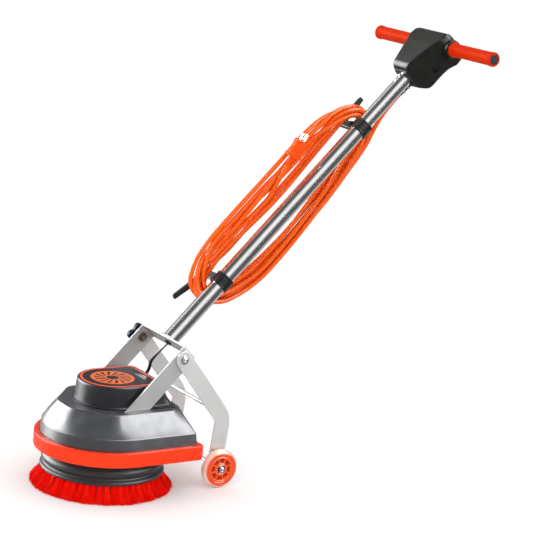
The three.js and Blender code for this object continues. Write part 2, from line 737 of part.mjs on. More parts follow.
// ---- Cords and plug, on the handle ----
// Evenly spaced points of a closed smooth outline given as [along the handle, behind the handle].
function smoothLoop(points, count) {
  const corners = points.map(([s, v]) => new THREE.Vector3(v, s, 0));
  const curve = new THREE.CatmullRomCurve3(corners, true, "centripetal");
  const loop = curve.getSpacedPoints(count).slice(1).reverse();
  return loop.map((p) => new THREE.Vector2(p.x, p.y));
}

function hankSolid() {
  const shape = new THREE.Shape(smoothLoop(HANK_OUTSIDE, 48));
  shape.holes.push(new THREE.Path(smoothLoop(HANK_INSIDE, 36)));
  return sideways(extruded(shape, ...HANK_X));
}

// The whole space of the wound cord, a little larger, to end the loose cord on its face.
function hankSpace() {
  const middle = new THREE.Vector2(18, 432);
  const grown = smoothLoop(HANK_OUTSIDE, 48).map((p) => {
    const out = p.sub(middle);
    return out.setLength(out.length() + 0.5).add(middle);
  });
  return sideways(extruded(new THREE.Shape(grown), HANK_X[0] - 1, HANK_X[1] + 40));
}

function strainRelief(low, length, radius) {
  return turned([[0, low], [radius * 0.72, low], [radius, low + length], [0, low + length]], 16);
}

function plugBody() {
  const relief = strainRelief(0, 26, 8);
  const block = (x, y, corner, z) =>
    extruded(roundedPolygon([[-x, -y], [x, -y], [x, y], [-x, y]], corner), ...z, 3);
  return join(relief, block(12, 20, 6, [25, 31]), block(10.5, 16, 5, [30, 68]));
}

function plugPins() {
  const bridge = box([-5, 5], [-9, 9], [68.3, 69.6]);
  const blades = [-6.3, 6.3].map((y) => box([-3.2, 3.2], [y - 0.8, y + 0.8], [69, 86]));
  return join(bridge, ...blades, rod("z", 2.4, 69, 89, 4.6, 0, 10));
}

const relief = strainRelief(822, 35.7, 8).translate(-14, 27, 0);
add(handle, "cord_strain_relief", relief, gripOrange);
const looseCord = cut(tubeAlong(CORD_ROUTE, CORD_D / 2, 8, 14), hankSpace());
add(handle, "power_cord", looseCord, gripOrange);
add(handle, "cord_hank", hankSolid(), gripOrange);

const plug = new THREE.Group();
plug.position.set(...PLUG_AT);
plug.rotation.set(...PLUG_LEAN.map(THREE.MathUtils.degToRad), 0);
handle.add(plug);
add(plug, "plug_body", plugBody(), gripOrange);
add(plug, "plug_pins", plugPins(), polishedSteel);

add(machine, "motor_cable", tubeAlong(MOTOR_CABLE, 3.6, 8, 18), blackPlastic);

// ---- Wheel frame ----
const wheelFrame = new THREE.Group();
machine.add(wheelFrame);
const armPivot = [
  YOKE_PIVOT[0] + (YOKE_REACH + ARM_PIVOT_S) * Math.cos(HANDLE_ANGLE),
  YOKE_PIVOT[1] + (YOKE_REACH + ARM_PIVOT_S) * Math.sin(HANDLE_ANGLE),
];

// Flat bar through points of the y, z plane, between two values of x.
function flatBar(points, half, x) {
  const pieces = points.map(([y, z]) => rod("x", half, x[0], x[1], y, z, 20));
  for (let i = 0; i + 1 < points.length; i++) {
    const [y0, z0] = points[i];
    const [y1, z1] = points[i + 1];
    const length = Math.hypot(y1 - y0, z1 - z0);
    const piece = box(x, [0, length], [-half, half]).rotateX(Math.atan2(z1 - z0, y1 - y0));
    pieces.push(piece.translate(0, y0, z0));
  }
  return join(...pieces);
}

[["left", 1], ["right", -1]].forEach(([name, side]) => {
  const arm = cut(
    flatBar([armPivot, ARM_BEND, WHEEL_CENTRE], ARM_HALF, onSide(side, ARM_X)),
    rod("x", CLAMP_BOLT_R + 0.4, -120, 120, ...armPivot, 16),
    rod("x", AXLE_R + GAP, -120, 120, ...WHEEL_CENTRE, 16),
  );
  add(wheelFrame, `${name}_wheel_arm`, arm, barSteel);
  const middle = (WHEEL_X[0] + WHEEL_X[1]) / 2;
  const half = (WHEEL_X[1] - WHEEL_X[0]) / 2;
  const place = (geometry) => geometry.rotateY(Math.PI / 2).translate(side * middle, ...WHEEL_CENTRE);
  // A turned solid that is the same on both sides of the wheel, from [radius, depth from its face].
  const evenTurned = (corners, sides) => {
    const low = corners.map(([radius, depth]) => [radius, depth - half]);
    const high = corners.map(([radius, depth]) => [radius, half - depth]).reverse();
    return turned([...low, ...high], sides);
  };
  const tyre = evenTurned([[HUB_R + GAP, 2], [36, 0], [42, 4], [WHEEL_R, 9]], 24);
  const inner = BEARING_R + GAP;
  const hub = evenTurned([[inner, 1], [15, 1], [17, 8.5], [22, 8.5], [23, 2], [HUB_R, 2]], 20);
  const bearing = sleeve(AXLE_R + GAP, BEARING_R, 1 - half, half - 1, 20);
  add(wheelFrame, `${name}_tyre`, place(tyre), tyreClear);
  add(wheelFrame, `${name}_wheel_hub`, place(hub), gripOrange);
  add(wheelFrame, `${name}_wheel_bearing`, place(bearing), plainSteel);
});

add(wheelFrame, "brace_rod", rod("x", 4, -ARM_X[0] + GAP, ARM_X[0] - GAP, ...BRACE_AT, 12), barSteel);

function wheelAxle() {
  const along = (radius, x, sides) => rod("x", radius, ...x, ...WHEEL_CENTRE, sides);
  const end = WHEEL_X[1] + 5;
  const shoulders = [-1, 1].flatMap((side) => [
    along(6.5, onSide(side, [WHEEL_X[1] + GAP, end]), 6),
    along(6.5, onSide(side, [ARM_X[1] + GAP, WHEEL_X[0] + 0.5]), 12),
  ]);
  return join(along(AXLE_R, [-end, end], 16), ...shoulders);
}

add(wheelFrame, "wheel_axle", wheelAxle(), plainSteel);

export default machine;
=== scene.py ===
import json
import math
import random

import bmesh
import bpy
import numpy as np
from mathutils import Matrix, Vector

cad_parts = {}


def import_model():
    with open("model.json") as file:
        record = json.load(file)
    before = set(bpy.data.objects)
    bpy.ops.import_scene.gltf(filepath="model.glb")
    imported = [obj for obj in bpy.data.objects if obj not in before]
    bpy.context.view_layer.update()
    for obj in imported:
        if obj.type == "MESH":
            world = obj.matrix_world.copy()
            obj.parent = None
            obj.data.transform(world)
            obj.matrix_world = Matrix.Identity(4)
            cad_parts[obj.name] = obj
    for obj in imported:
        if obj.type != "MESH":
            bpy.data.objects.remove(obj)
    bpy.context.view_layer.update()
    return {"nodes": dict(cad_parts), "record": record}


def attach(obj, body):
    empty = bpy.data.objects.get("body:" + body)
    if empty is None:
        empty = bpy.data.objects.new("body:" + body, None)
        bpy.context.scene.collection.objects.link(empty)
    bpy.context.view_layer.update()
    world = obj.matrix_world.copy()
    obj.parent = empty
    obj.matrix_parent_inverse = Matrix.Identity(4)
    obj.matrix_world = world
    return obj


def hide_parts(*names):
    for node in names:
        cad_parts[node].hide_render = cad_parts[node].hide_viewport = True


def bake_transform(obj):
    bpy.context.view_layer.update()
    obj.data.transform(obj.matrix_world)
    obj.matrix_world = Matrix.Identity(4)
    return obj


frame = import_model()
scene = bpy.context.scene

# ---- Places, in millimetres until a mesh is made ----
MM = 0.001
BRUSH_Y = -350.85  # the brush's axis
TILT = math.radians(45.6)  # the handle above the floor
COS, SIN = math.cos(TILT), math.sin(TILT)
PIVOT_Z = 168.0
YOKE_REACH = 216.0
HEAD_S = 966.0  # the handlebar, along the handle

# Meshes are drawn in one of these two frames: x, y, z from the brush's axis on the floor,
# or x, behind, along from the middle of the yoke's bridge.
BASE = Matrix.Translation((0, BRUSH_Y, 0))
HANDLE = Matrix((
    (1, 0, 0, 0),
    (0, SIN, COS, BRUSH_Y + YOKE_REACH * COS),
    (0, -COS, SIN, PIVOT_Z + YOKE_REACH * SIN),
    (0, 0, 0, 1),
))
ALONG_X = Matrix(((0, 0, 1, 0), (1, 0, 0, 0), (0, 1, 0, 0), (0, 0, 0, 1)))  # turns drawn z into x
UPRIGHT = Matrix(((1, 0, 0, 0), (0, 0, 1, 0), (0, 1, 0, 0), (0, 0, 0, 1)))  # swaps drawn y and z
SIDES = ((1, "left"), (-1, "right"))
YOKE_X = 95.7  # the middle of each leg
WHEEL = (241, 45)  # the wheels' axle, in BASE
RELIEF = (-14, 27)  # where the cord leaves the head, in HANDLE
BUTTON_BEHIND = -9  # the lock button's axis


def metres(frame_matrix, point):
    return frame_matrix @ Vector(point) * MM


def added(name, data):
    made = bpy.data.objects.new(name, data)
    scene.collection.objects.link(made)
    return made


# ---- Camera, at the photograph's angle ----
SENSOR_MM, PHOTO_PX = 36, 533


def look(azimuth, elevation, roll, distance, target, focal_px):
    a, e, r = (math.radians(v) for v in (azimuth, elevation, roll))
    back = Vector((math.sin(a) * math.cos(e), -math.cos(a) * math.cos(e), math.sin(e)))
    flat_right = Vector((math.cos(a), math.sin(a), 0))
    flat_up = back.cross(flat_right)
    right = flat_right * math.cos(r) + flat_up * math.sin(r)
    up = flat_up * math.cos(r) - flat_right * math.sin(r)
    camera = added("camera", bpy.data.cameras.new("camera"))
    place = Vector(target) + back * distance
    camera.matrix_world = Matrix.Translation(place) @ Matrix((right, up, back)).transposed().to_4x4()
    camera.data.sensor_width = SENSOR_MM
    camera.data.lens = SENSOR_MM * focal_px / PHOTO_PX
    camera.data.clip_end = 60
    scene.camera = camera


look(56.21, 13.04, 5.31, 4.63372, (0, 0.05022, 0.48601), 1975.86)

# ---- Outlines ----
def rounded(enter, corner, leave, steps):
    """Points round a corner, from where its curve starts to where it ends."""
    return [enter * (1 - t) ** 2 + corner * 2 * t * (1 - t) + leave * t * t
            for t in (k / steps for k in range(steps + 1))]


def fillet(corners, radius, steps=4):
    """A closed outline with rounded corners; a corner may carry its own radius as a third number."""
    points = [Vector(c[:2]) for c in corners]
    out = []
    for i, corner in enumerate(points):
        before, after = points[i - 1] - corner, points[(i + 1) % len(points)] - corner
        own = corners[i][2] if len(corners[i]) > 2 else radius
        reach = min(own, before.length * 0.48, after.length * 0.48)
        if reach < 1e-6:
            out.append(corner.copy())
        else:
            out += rounded(corner + before.normalized() * reach, corner,
                           corner + after.normalized() * reach, steps)
    return out


def block(x, y):
    return [(-x, -y), (x, -y), (x, y), (-x, y)]


def arc(cx, cy, radius, start, end, steps):
    turn = [math.radians(start + (end - start) * k / steps) for k in range(steps + 1)]
    return [Vector((cx + radius * math.cos(a), cy + radius * math.sin(a))) for a in turn]


def circle(radius, count):
    return arc(0.0, 0.0, radius, 0, 360, count)[:-1]


def deck_plan(half, front, rear, corner):
    """A round front, straight sides and a squared rear."""
    right = arc(half - corner, rear - corner, corner, 0, 90, 10)
    left = arc(corner - half, rear - corner, corner, 90, 180, 10)
    return right + left + arc(0, front, half, 180, 360, 90)


def ray_ring(outline, centre_y, angles):
    """Points where rays from (0, centre_y) leave an outline."""
    points = np.array([tuple(p) for p in outline]) - (0, centre_y)
    side = np.roll(points, -1, 0) - points
    ring = []
    for angle in angles:
        ray = np.array((math.cos(math.radians(angle)), math.sin(math.radians(angle))))
        across = ray[0] * side[:, 1] - ray[1] * side[:, 0]
        across = np.where(np.abs(across) < 1e-9, np.nan, across)
        along = (points[:, 0] * side[:, 1] - points[:, 1] * side[:, 0]) / across
        part = (points[:, 0] * ray[1] - points[:, 1] * ray[0]) / across
        hit = along[(part > -1e-6) & (part < 1 + 1e-6)]
        reach = np.nanmax(hit)
        ring.append((ray[0] * reach, ray[1] * reach + centre_y))
    return ring


# ---- Mesh pieces ----
CREASE = 35  # degrees; sharper edges than this show as edges
CORE = 0.01  # radius of a turned solid's open middle
DENSE = 60000  # polygons; a piece with more keeps its own normals


def even_normals(part):
    """Lets large faces set the shading, so that rounded edges don't bend the light on flat sides."""
    if len(part.data.polygons) < DENSE:
        part.modifiers.new("even_normals", "WEIGHTED_NORMAL").keep_sharp = True


def mesh_from(name, vertices, faces):
    mesh = bpy.data.meshes.new(name)
    mesh.from_pydata([tuple(v) for v in vertices], [], faces)
    work = bmesh.new()
    work.from_mesh(mesh)
    bmesh.ops.remove_doubles(work, verts=work.verts, dist=1e-5)
    bmesh.ops.recalc_face_normals(work, faces=work.faces)
    work.to_mesh(mesh)
    work.free()
    return mesh


def skin(rings, loop=False):
    """Vertices and faces of a skin through rings of 3-D points with equal counts."""
    count, levels = len(rings[0]), len(rings)
    faces = []
    for level in range(levels if loop else levels - 1):
        a, b = level * count, (level + 1) % levels * count
        for k in range(count):
            n = (k + 1) % count
            faces.append((a + k, a + n, b + n, b + k))
    if not loop:
        faces += [tuple(reversed(range(count))), tuple(range((levels - 1) * count, levels * count))]
    return [p for ring in rings for p in ring], faces


def round_ring(radius, z, count=48):
    return [(radius * math.cos(2 * math.pi * k / count), radius * math.sin(2 * math.pi * k / count), z)
            for k in range(count)]


def lathe(profile, count=64):
    """A turned solid about z from (radius, z) corners, which close on themselves."""
    return skin([round_ring(max(radius, 1e-6), z, count) for radius, z in profile], loop=True)


def rod(radius, low, high, count=32):
    return lathe([(CORE, low), (radius, low), (radius, high), (CORE, high)], count)


def sleeve(inner, outer, low, high, edge=0.5, count=64):
    return lathe(fillet([(inner, low), (outer, low), (outer, high), (inner, high)], edge, 2), count)


def plate(outline, low, high, edge=0.6, steps=2):
    """A flat solid between two heights, with rounded edges, from a dense outline."""
    points = np.array([tuple(p) for p in outline])
    area = np.sum(points[:, 0] * np.roll(points[:, 1], -1) - points[:, 1] * np.roll(points[:, 0], -1))
    if area < 0:
        points = points[::-1]
    before, after = points - np.roll(points, 1, 0), np.roll(points, -1, 0) - points
    before /= np.maximum(np.linalg.norm(before, axis=1), 1e-9)[:, None]
    after /= np.maximum(np.linalg.norm(after, axis=1), 1e-9)[:, None]
    normal = np.stack((-(before + after)[:, 1], (before + after)[:, 0]), 1)
    normal /= np.maximum(np.linalg.norm(normal, axis=1), 1e-9)[:, None]
    bend = np.clip((before * after).sum(1), -0.5, 1)
    normal /= np.sqrt((1 + bend) / 2)[:, None]
    rings = []
    turns = [k / steps * math.pi / 2 for k in range(steps + 1)]
    shape = [(edge * (1 - math.sin(t)), low + edge * (1 - math.cos(t))) for t in turns]
    shape += [(inset, high + low - z) for inset, z in reversed(shape)]
    for inset, z in shape:
        ring = points + normal * inset
        rings.append([(x, y, z) for x, y in ring])
    return skin(rings)


def merged(*parts):
    """Several (vertices, faces) as one."""
    vertices, faces = [], []
    for part_vertices, part_faces in parts:
        start = len(vertices)
        vertices += [tuple(v) for v in part_vertices]
        faces += [tuple(i + start for i in face) for face in part_faces]
    return vertices, faces


def turned_to(matrix, part):
    return [tuple(matrix @ Vector(v)) for v in part[0]], part[1]


def shifted(part, x=0.0, y=0.0, z=0.0):
    return [(v[0] + x, v[1] + y, v[2] + z) for v in part[0]], part[1]


def plain_piece(name, part, place, material):
    mesh = mesh_from(name, *part)
    mesh.transform(Matrix.Scale(MM, 4) @ place)
    mesh.materials.append(material)
    mesh.polygons.foreach_set("use_smooth", [True] * len(mesh.polygons))
    return added(name, mesh)


def piece(name, part, place, body, material, replaces=(), crease=CREASE):
    made = plain_piece(name, part, place, material)
    made.data.set_sharp_from_angle(angle=math.radians(crease))
    even_normals(made)
    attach(made, body)
    if replaces:
        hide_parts(*replaces)
    return made


def handle_piece(name, part, material, replaces=(), crease=CREASE):
    return piece(name, part, HANDLE, "handle", material, replaces, crease)


def mirrored(part, side):
    return turned_to(Matrix.Diagonal((1, 1, side, 1)), part)


def on_x(part, x=0.0, b=0.0, c=0.0):
    """A part drawn about z, laid along x through (b, c) of the frame's other two axes."""
    return shifted(turned_to(ALONG_X, part), x, b, c)


def carve(target, place, *cutters):
    """Cuts solids, drawn in millimetres in the frame of place, out of a piece."""
    target.modifiers.clear()
    for i, part in enumerate(cutters):
        mesh = mesh_from(f"cutter_{i}", *part)
        mesh.transform(Matrix.Scale(MM, 4) @ place)
        tool = added(f"cutter_{i}", mesh)
        modifier = target.modifiers.new("cut", "BOOLEAN")
        modifier.object = tool
        modifier.solver = "EXACT"
        evaluated = target.evaluated_get(bpy.context.evaluated_depsgraph_get())
        carved = bpy.data.meshes.new_from_object(evaluated)
        target.modifiers.clear()
        target.data = carved
        bpy.data.objects.remove(tool)
    target.data.set_sharp_from_angle(angle=math.radians(CREASE))
    even_normals(target)


def smooth_path(points, per_span):
    """Catmull-Rom through points of any dimension."""
    points = [np.array(p, float) for p in points]
    last = len(points) - 1
    out = []
    for i in range(last):
        p0, p1, p2, p3 = (points[min(max(j, 0), last)] for j in range(i - 1, i + 3))
        for k in range(per_span):
            t = k / per_span
            out.append(0.5 * (2 * p1 + (p2 - p0) * t + (2 * p0 - 5 * p1 + 4 * p2 - p3) * t * t
                              + (3 * p1 - p0 - 3 * p2 + p3) * t ** 3))
    return out + [points[-1]]


def swept(path, outline, up):
    """A skin of a 2-D outline carried along a path without twist."""
    path = [Vector(p) for p in path]
    rings, side = [], None
    for i, here in enumerate(path):
        ahead, behind = path[min(i + 1, len(path) - 1)], path[max(i - 1, 0)]
        tangent = (ahead - behind).normalized()
        side = (Vector(up).cross(tangent) if side is None else side)
        side = (side - tangent * side.dot(tangent)).normalized()
        other = tangent.cross(side)
        rings.append([here + side * p[0] + other * p[1] for p in outline])
    return skin(rings)

# ---- Materials ----
def add_node(tree, kind, inputs, **values):
    """A node with its settings; each input is linked or set, and a colour gets its alpha."""
    made = tree.nodes.new(kind)
    for key, value in values.items():
        setattr(made, key, value)
    for key, value in inputs.items():
        socket = made.inputs[key]
        if isinstance(value, bpy.types.NodeSocket):
            tree.links.new(value, socket)
        else:
            socket.default_value = (*value, 1) if socket.type == "RGBA" else value
    return made


class Shade:
    """Builds a node material step by step: noise, mixes and bump over object coordinates."""

    def __init__(self, name, base, rough, metal=0.0, **sockets):
        self.material = bpy.data.materials.new(name)
        self.material.use_nodes = True
        self.tree = self.material.node_tree
        self.shader = self.tree.nodes["Principled BSDF"]
        self.shader.inputs["Base Color"].default_value = (*base, 1)
        self.shader.inputs["Roughness"].default_value = rough
        self.shader.inputs["Metallic"].default_value = metal
        for socket, value in sockets.items():
            self.shader.inputs[socket.replace("_", " ")].default_value = value
        self.coordinates = self.tree.nodes.new("ShaderNodeTexCoord").outputs["Object"]
        self.rough = rough

    def node(self, kind, inputs, **values):
        return add_node(self.tree, kind, inputs, **values)

    def place(self, scale=(1, 1, 1), turn=(0, 0, 0), shift=(0, 0, 0)):
        inputs = {"Vector": self.coordinates, "Scale": scale, "Rotation": turn, "Location": shift}
        return self.node("ShaderNodeMapping", inputs).outputs["Vector"]

    def noise(self, scale, detail, rough=0.55, vector=None):
        inputs = {"Vector": vector or self.coordinates, "Scale": scale, "Detail": detail,
                  "Roughness": rough}
        return self.node("ShaderNodeTexNoise", inputs).outputs["Fac"]

    def math(self, kind, *values):
        return self.node("ShaderNodeMath", dict(enumerate(values)), operation=kind).outputs[0]

    def span(self, value, low, high, out_low=0.0, out_high=1.0):
        inputs = dict(enumerate((value, low, high, out_low, out_high)))
        return self.node("ShaderNodeMapRange", inputs, interpolation_type="SMOOTHSTEP").outputs[0]

    def mix(self, factor, a, b):
        return self.node("ShaderNodeMix", {"Factor": factor, 6: a, 7: b}, data_type="RGBA").outputs[2]

    def colour(self, output):
        self.tree.links.new(output, self.shader.inputs["Base Color"])

    def roughness(self, output, spread):
        wanted = self.span(output, 0.25, 0.75, self.rough - spread, self.rough + spread)
        self.tree.links.new(wanted, self.shader.inputs["Roughness"])

    def bump(self, output, depth_mm):
        inputs = {"Distance": depth_mm * MM, "Height": output}
        made = self.node("ShaderNodeBump", inputs)
        self.tree.links.new(made.outputs["Normal"], self.shader.inputs["Normal"])


def tinted(base, factor):
    return tuple(min(1.0, c * factor) for c in base)


def moulded(name, base, rough, grain=900, depth=0.05, vary=0.12, speck=None, **sockets):
    """Moulded plastic: fine grain, faint cloudy colour and gloss."""
    shade = Shade(name, base, rough, **sockets)
    cloud = shade.noise(14, 4)
    colour = shade.mix(cloud, tinted(base, 1 - vary), tinted(base, 1 + vary))
    fine = shade.noise(grain, 2, 0.6)
    if speck:
        sparkle = shade.span(shade.noise(grain * 1.7, 1, 0.5), 0.56, 0.72)
        colour = shade.mix(sparkle, colour, speck)
    shade.colour(colour)
    shade.roughness(shade.noise(40, 3), 0.06)
    shade.bump(fine, depth)
    return shade.material


def brushed(name, base, rough, stretch, turn=(0, 0, 0), depth=0.02, vary=0.1, metal=1.0):
    """Metal with long drawn or brushed lines."""
    shade = Shade(name, base, rough, metal)
    lines = shade.noise(60, 4, 0.6, shade.place(stretch, turn))
    cloud = shade.noise(9, 3)
    colour = shade.mix(lines, tinted(base, 1 - vary), tinted(base, 1 + vary))
    shade.colour(shade.mix(shade.span(cloud, 0.35, 0.75, 0, 0.35), colour, tinted(base, 0.82)))
    shade.roughness(lines, min(0.08, rough * 0.4))
    shade.bump(lines, depth)
    return shade.material


def radial(shade, centre, axis):
    """Distance in metres from a line through centre along "x" or "z"."""
    moved = shade.place(shift=tuple(-c for c in centre))
    split = shade.node("ShaderNodeSeparateXYZ", {0: moved})
    a, b = (split.outputs[1], split.outputs[2]) if axis == "x" else (split.outputs[0], split.outputs[1])
    squares = [shade.math("MULTIPLY", v, v) for v in (a, b)]
    return shade.math("SQRT", shade.math("ADD", *squares)), split


VANES, VANE_TWIST = 14, 135.0  # how many, and radians of swirl per metre outward


def label_print():
    """The printed label: an orange edge, a dark field and a swirl of vanes in an orange disc."""
    orange, dark = (0.86, 0.17, 0.035), (0.012, 0.011, 0.018)
    shade = Shade("label_print", dark, 0.34, Specular_IOR_Level=0.15)
    centre_y = (BRUSH_Y + 11.4) * MM
    reach, split = radial(shade, (0, centre_y, 0), "z")
    angle = shade.math("ARCTAN2", split.outputs[1], split.outputs[0])
    swirl = shade.math("ADD", shade.math("MULTIPLY", angle, VANES),
                       shade.math("MULTIPLY", reach, VANE_TWIST))
    gap = shade.span(shade.math("SINE", swirl), 0.05, 0.25)
    inside = shade.math("MULTIPLY", shade.span(reach, 0.0178, 0.0190),
                        shade.span(reach, 0.0435, 0.0425))
    blank = shade.math("MAXIMUM", shade.math("MULTIPLY", gap, inside), shade.span(reach, 0.0150, 0.0142))
    disc = shade.span(reach, 0.0505, 0.0498)
    printed = shade.math("MULTIPLY", disc, shade.math("SUBTRACT", 1.0, blank))
    worn = shade.noise(160, 4)
    ink = shade.mix(worn, tinted(orange, 0.86), tinted(orange, 1.12))
    shade.colour(shade.mix(printed, dark, ink))
    shade.roughness(worn, 0.05)
    shade.bump(printed, 0.03)
    return shade.material


def tyre_rubber():
    """Translucent urethane: clear at the tread's edge, denser towards the hub."""
    shade = Shade("tyre_clear", (0.95, 0.30, 0.12), 0.12, Coat_Weight=0.25, Coat_Roughness=0.05,
                  Subsurface_Weight=0.35, Subsurface_Radius=(0.02, 0.008, 0.004))
    reach, _ = radial(shade, (0, (BRUSH_Y + WHEEL[0]) * MM, WHEEL[1] * MM), "x")
    deep = shade.mix(shade.noise(30, 3), (0.78, 0.065, 0.012), (0.88, 0.115, 0.028))
    clear = shade.mix(shade.noise(22, 2), (0.95, 0.60, 0.50), (0.97, 0.74, 0.66))
    shade.colour(shade.mix(shade.span(reach, 0.0375, 0.0425), deep, clear))
    shade.roughness(shade.noise(50, 3), 0.04)
    shade.bump(shade.noise(140, 2), 0.02)
    return shade.material


def fibres():
    shade = Shade("bristle_fibre", (0.90, 0.006, 0.003), 0.5, Specular_IOR_Level=0.03)
    lines = shade.noise(900, 3, 0.6, shade.place((1, 1, 0.04)))
    # Painted highlight: orange patches over the red stand in for orange glints on the fibres.
    glint_patches = shade.noise(55, 3)
    colour = shade.mix(lines, (0.80, 0.001, 0.001), (1.0, 0.010, 0.003))
    shade.colour(shade.mix(shade.span(glint_patches, 0.5, 0.8, 0, 0.45), colour, (1.0, 0.05, 0.004)))
    shade.roughness(lines, 0.1)
    shade.bump(lines, 0.05)
    return shade.material


def cord_skin():
    """Glossy extruded PVC, with faint drawn marks and grime."""
    shade = Shade("cord_orange", (0.93, 0.095, 0.006), 0.25, Specular_IOR_Level=0.32)
    shade.colour(shade.mix(shade.noise(18, 4), (0.82, 0.085, 0.003), (0.97, 0.150, 0.006)))
    shade.roughness(shade.noise(70, 3), 0.06)
    shade.bump(shade.noise(240, 3), 0.02)
    return shade.material


HANDLE_TURN = (-(math.pi / 2 - TILT), 0, 0)  # brings the handle's own axis onto z for brushed lines
deck_black = moulded("deck_plastic", (0.037, 0.039, 0.044), 0.34, 1100, 0.08, 0.15,
                     speck=(0.13, 0.135, 0.15), Metallic=0.2, Specular_IOR_Level=0.9)
cover_black = moulded("cover_plastic", (0.016, 0.016, 0.018), 0.32, 1000, 0.14, 0.2,
                      speck=(0.06, 0.06, 0.07), Specular_IOR_Level=0.32)
satin_black = moulded("black_plastic", (0.018, 0.0175, 0.0165), 0.34, 1500, 0.03, 0.12)
hard_black = moulded("hard_black", (0.010, 0.010, 0.011), 0.3, 800, 0.03, 0.2, Specular_IOR_Level=0.3)
cap_blue = moulded("cap_plastic", (0.024, 0.030, 0.042), 0.5, 900, 0.04, 0.12, Specular_IOR_Level=0.15)
block_grey = moulded("block_plastic", (0.030, 0.030, 0.031), 0.42, 900, 0.05, 0.14,
                     Specular_IOR_Level=0.3)
bumper_paint = moulded("bumper_orange", (0.93, 0.042, 0.005), 0.26, 260, 0.008, 0.06,
                       Specular_IOR_Level=0.25)
grip_rubber = moulded("grip_orange", (0.62, 0.026, 0.0002), 0.5, 1300, 0.02, 0.07,
                      Specular_IOR_Level=0.04)
hub_plastic = moulded("hub_orange", (0.93, 0.11, 0.015), 0.25, 300, 0.03, 0.1, Coat_Weight=0.3)
button_plastic = moulded("button_orange", (0.90, 0.085, 0.012), 0.4, 700, 0.03, 0.08,
                         Specular_IOR_Level=0.35)
cable_rubber = moulded("cable_black", (0.012, 0.012, 0.013), 0.38, 700, 0.05, 0.15)
flat_steel = brushed("bar_steel", (0.45, 0.452, 0.45), 0.42, (6, 6, 0.25), HANDLE_TURN, 0.02, 0.05, 0.4)
arm_steel = brushed("arm_steel", (0.62, 0.622, 0.615), 0.42, (6, 6, 0.3), (0, 0, 0), 0.02, 0.05, 0.35)
tube_steel = brushed("tube_steel", (0.82, 0.82, 0.825), 0.10, (8, 8, 0.15), HANDLE_TURN, 0.002, 0.03)
bright_steel = brushed("bright_steel", (0.82, 0.82, 0.83), 0.12, (3, 3, 3), (0, 0, 0), 0.01, 0.04)
plain_steel = brushed("plain_steel", (0.48, 0.485, 0.49), 0.32, (2, 2, 6), (0, 0, 0), 0.03, 0.12)
bronze_steel = brushed("passivated_steel", (0.33, 0.245, 0.19), 0.4, (4, 4, 4), (0, 0, 0), 0.03, 0.25)
cast_metal = moulded("cast_metal", (0.30, 0.305, 0.31), 0.5, 500, 0.12, 0.15, Metallic=0.7)
winding = brushed("winding", (0.55, 0.25, 0.10), 0.4, (1, 1, 12), (0, 0, 0), 0.08, 0.3, 0.7)
head_black = moulded("head_black", (0.0105, 0.010, 0.009), 0.36, 1500, 0.03, 0.10,
                     Specular_IOR_Level=0.22)
knob_navy = moulded("knob_navy", (0.008, 0.010, 0.022), 0.48, 900, 0.04, 0.15, Specular_IOR_Level=0.15)
# Painted shade: the hub's orange darkened for the floor of its recesses, where shade falls between the
# spokes.
painted_recess_shade = moulded("recess_shade_red", (0.42, 0.030, 0.006), 0.4, 300, 0.03, 0.12)
plug_orange = moulded("plug_orange", (0.90, 0.085, 0.004), 0.5, 700, 0.03, 0.08,
                      Specular_IOR_Level=0.10)
print_white = moulded("print_white", (0.62, 0.62, 0.66), 0.4, 600, 0.01, 0.1)
LABEL, TYRE, FIBRE, CORD = label_print(), tyre_rubber(), fibres(), cord_skin()
# Painted shade: a darker red for the solid under the tufts, standing in for the shade between the bristles
# at their roots.
PAINTED_ROOT_SHADE = moulded("bristle_gap_shade", (0.42, 0.002, 0.001), 0.6, 500, 0.3, 0.3)

PLAIN_LOOKS = {
    "cast_metal": cast_metal,
    "plain_steel": plain_steel,
    "winding": winding,
}
SLOT_OF = {row["node"]: row["material_slot"] for row in frame["record"]["subparts"]}
for node_name, node_object in frame["nodes"].items():
    node_object.data.materials.clear()
    node_object.data.materials.append(PLAIN_LOOKS.get(SLOT_OF[node_name], satin_black))

# ---- The cord: seven passes down the back of the hooks and up the front ----
CORD_D = 11.0
SETTLE_STEP, STEP = 4.2, 3.0  # between the cord's points, while it settles and at the end
# Middles of the innermost and outermost turn: [along, behind] each, down the back first.
TURN_STATIONS = [
    ((650, 43), (655, 70)), ((600, 50), (600, 81)), ((540, 56), (540, 91)), ((470, 62), (470, 96)),
    ((400, 66), (400, 100)), ((340, 65), (335, 101)), ((280, 61), (275, 98)), ((225, 51), (222, 88)),
    ((190, 42), (188, 75)), ((165, 32), (161, 62)), ((152, 14), (138, 36)), ((154, -3), (128, 6)),
    ((170, -15), (140, -38)), ((196, -19), (184, -69)), ((240, -16), (232, -78)), ((310, -13), (310, -81)),
    ((398, -12), (398, -81)), ((493, -13), (493, -81)), ((580, -18), (580, -81)), ((640, -20), (640, -74)),
    ((676, -20), (664, -67)), ((708, -12), (714, -36)), ((721, 9), (733, 2)), ((703, 33), (702, 52)),
]
LANE_STATIONS = (2, 6, 11, 14, 18, 22)  # high and low at the back, bottom, low and high in front, top
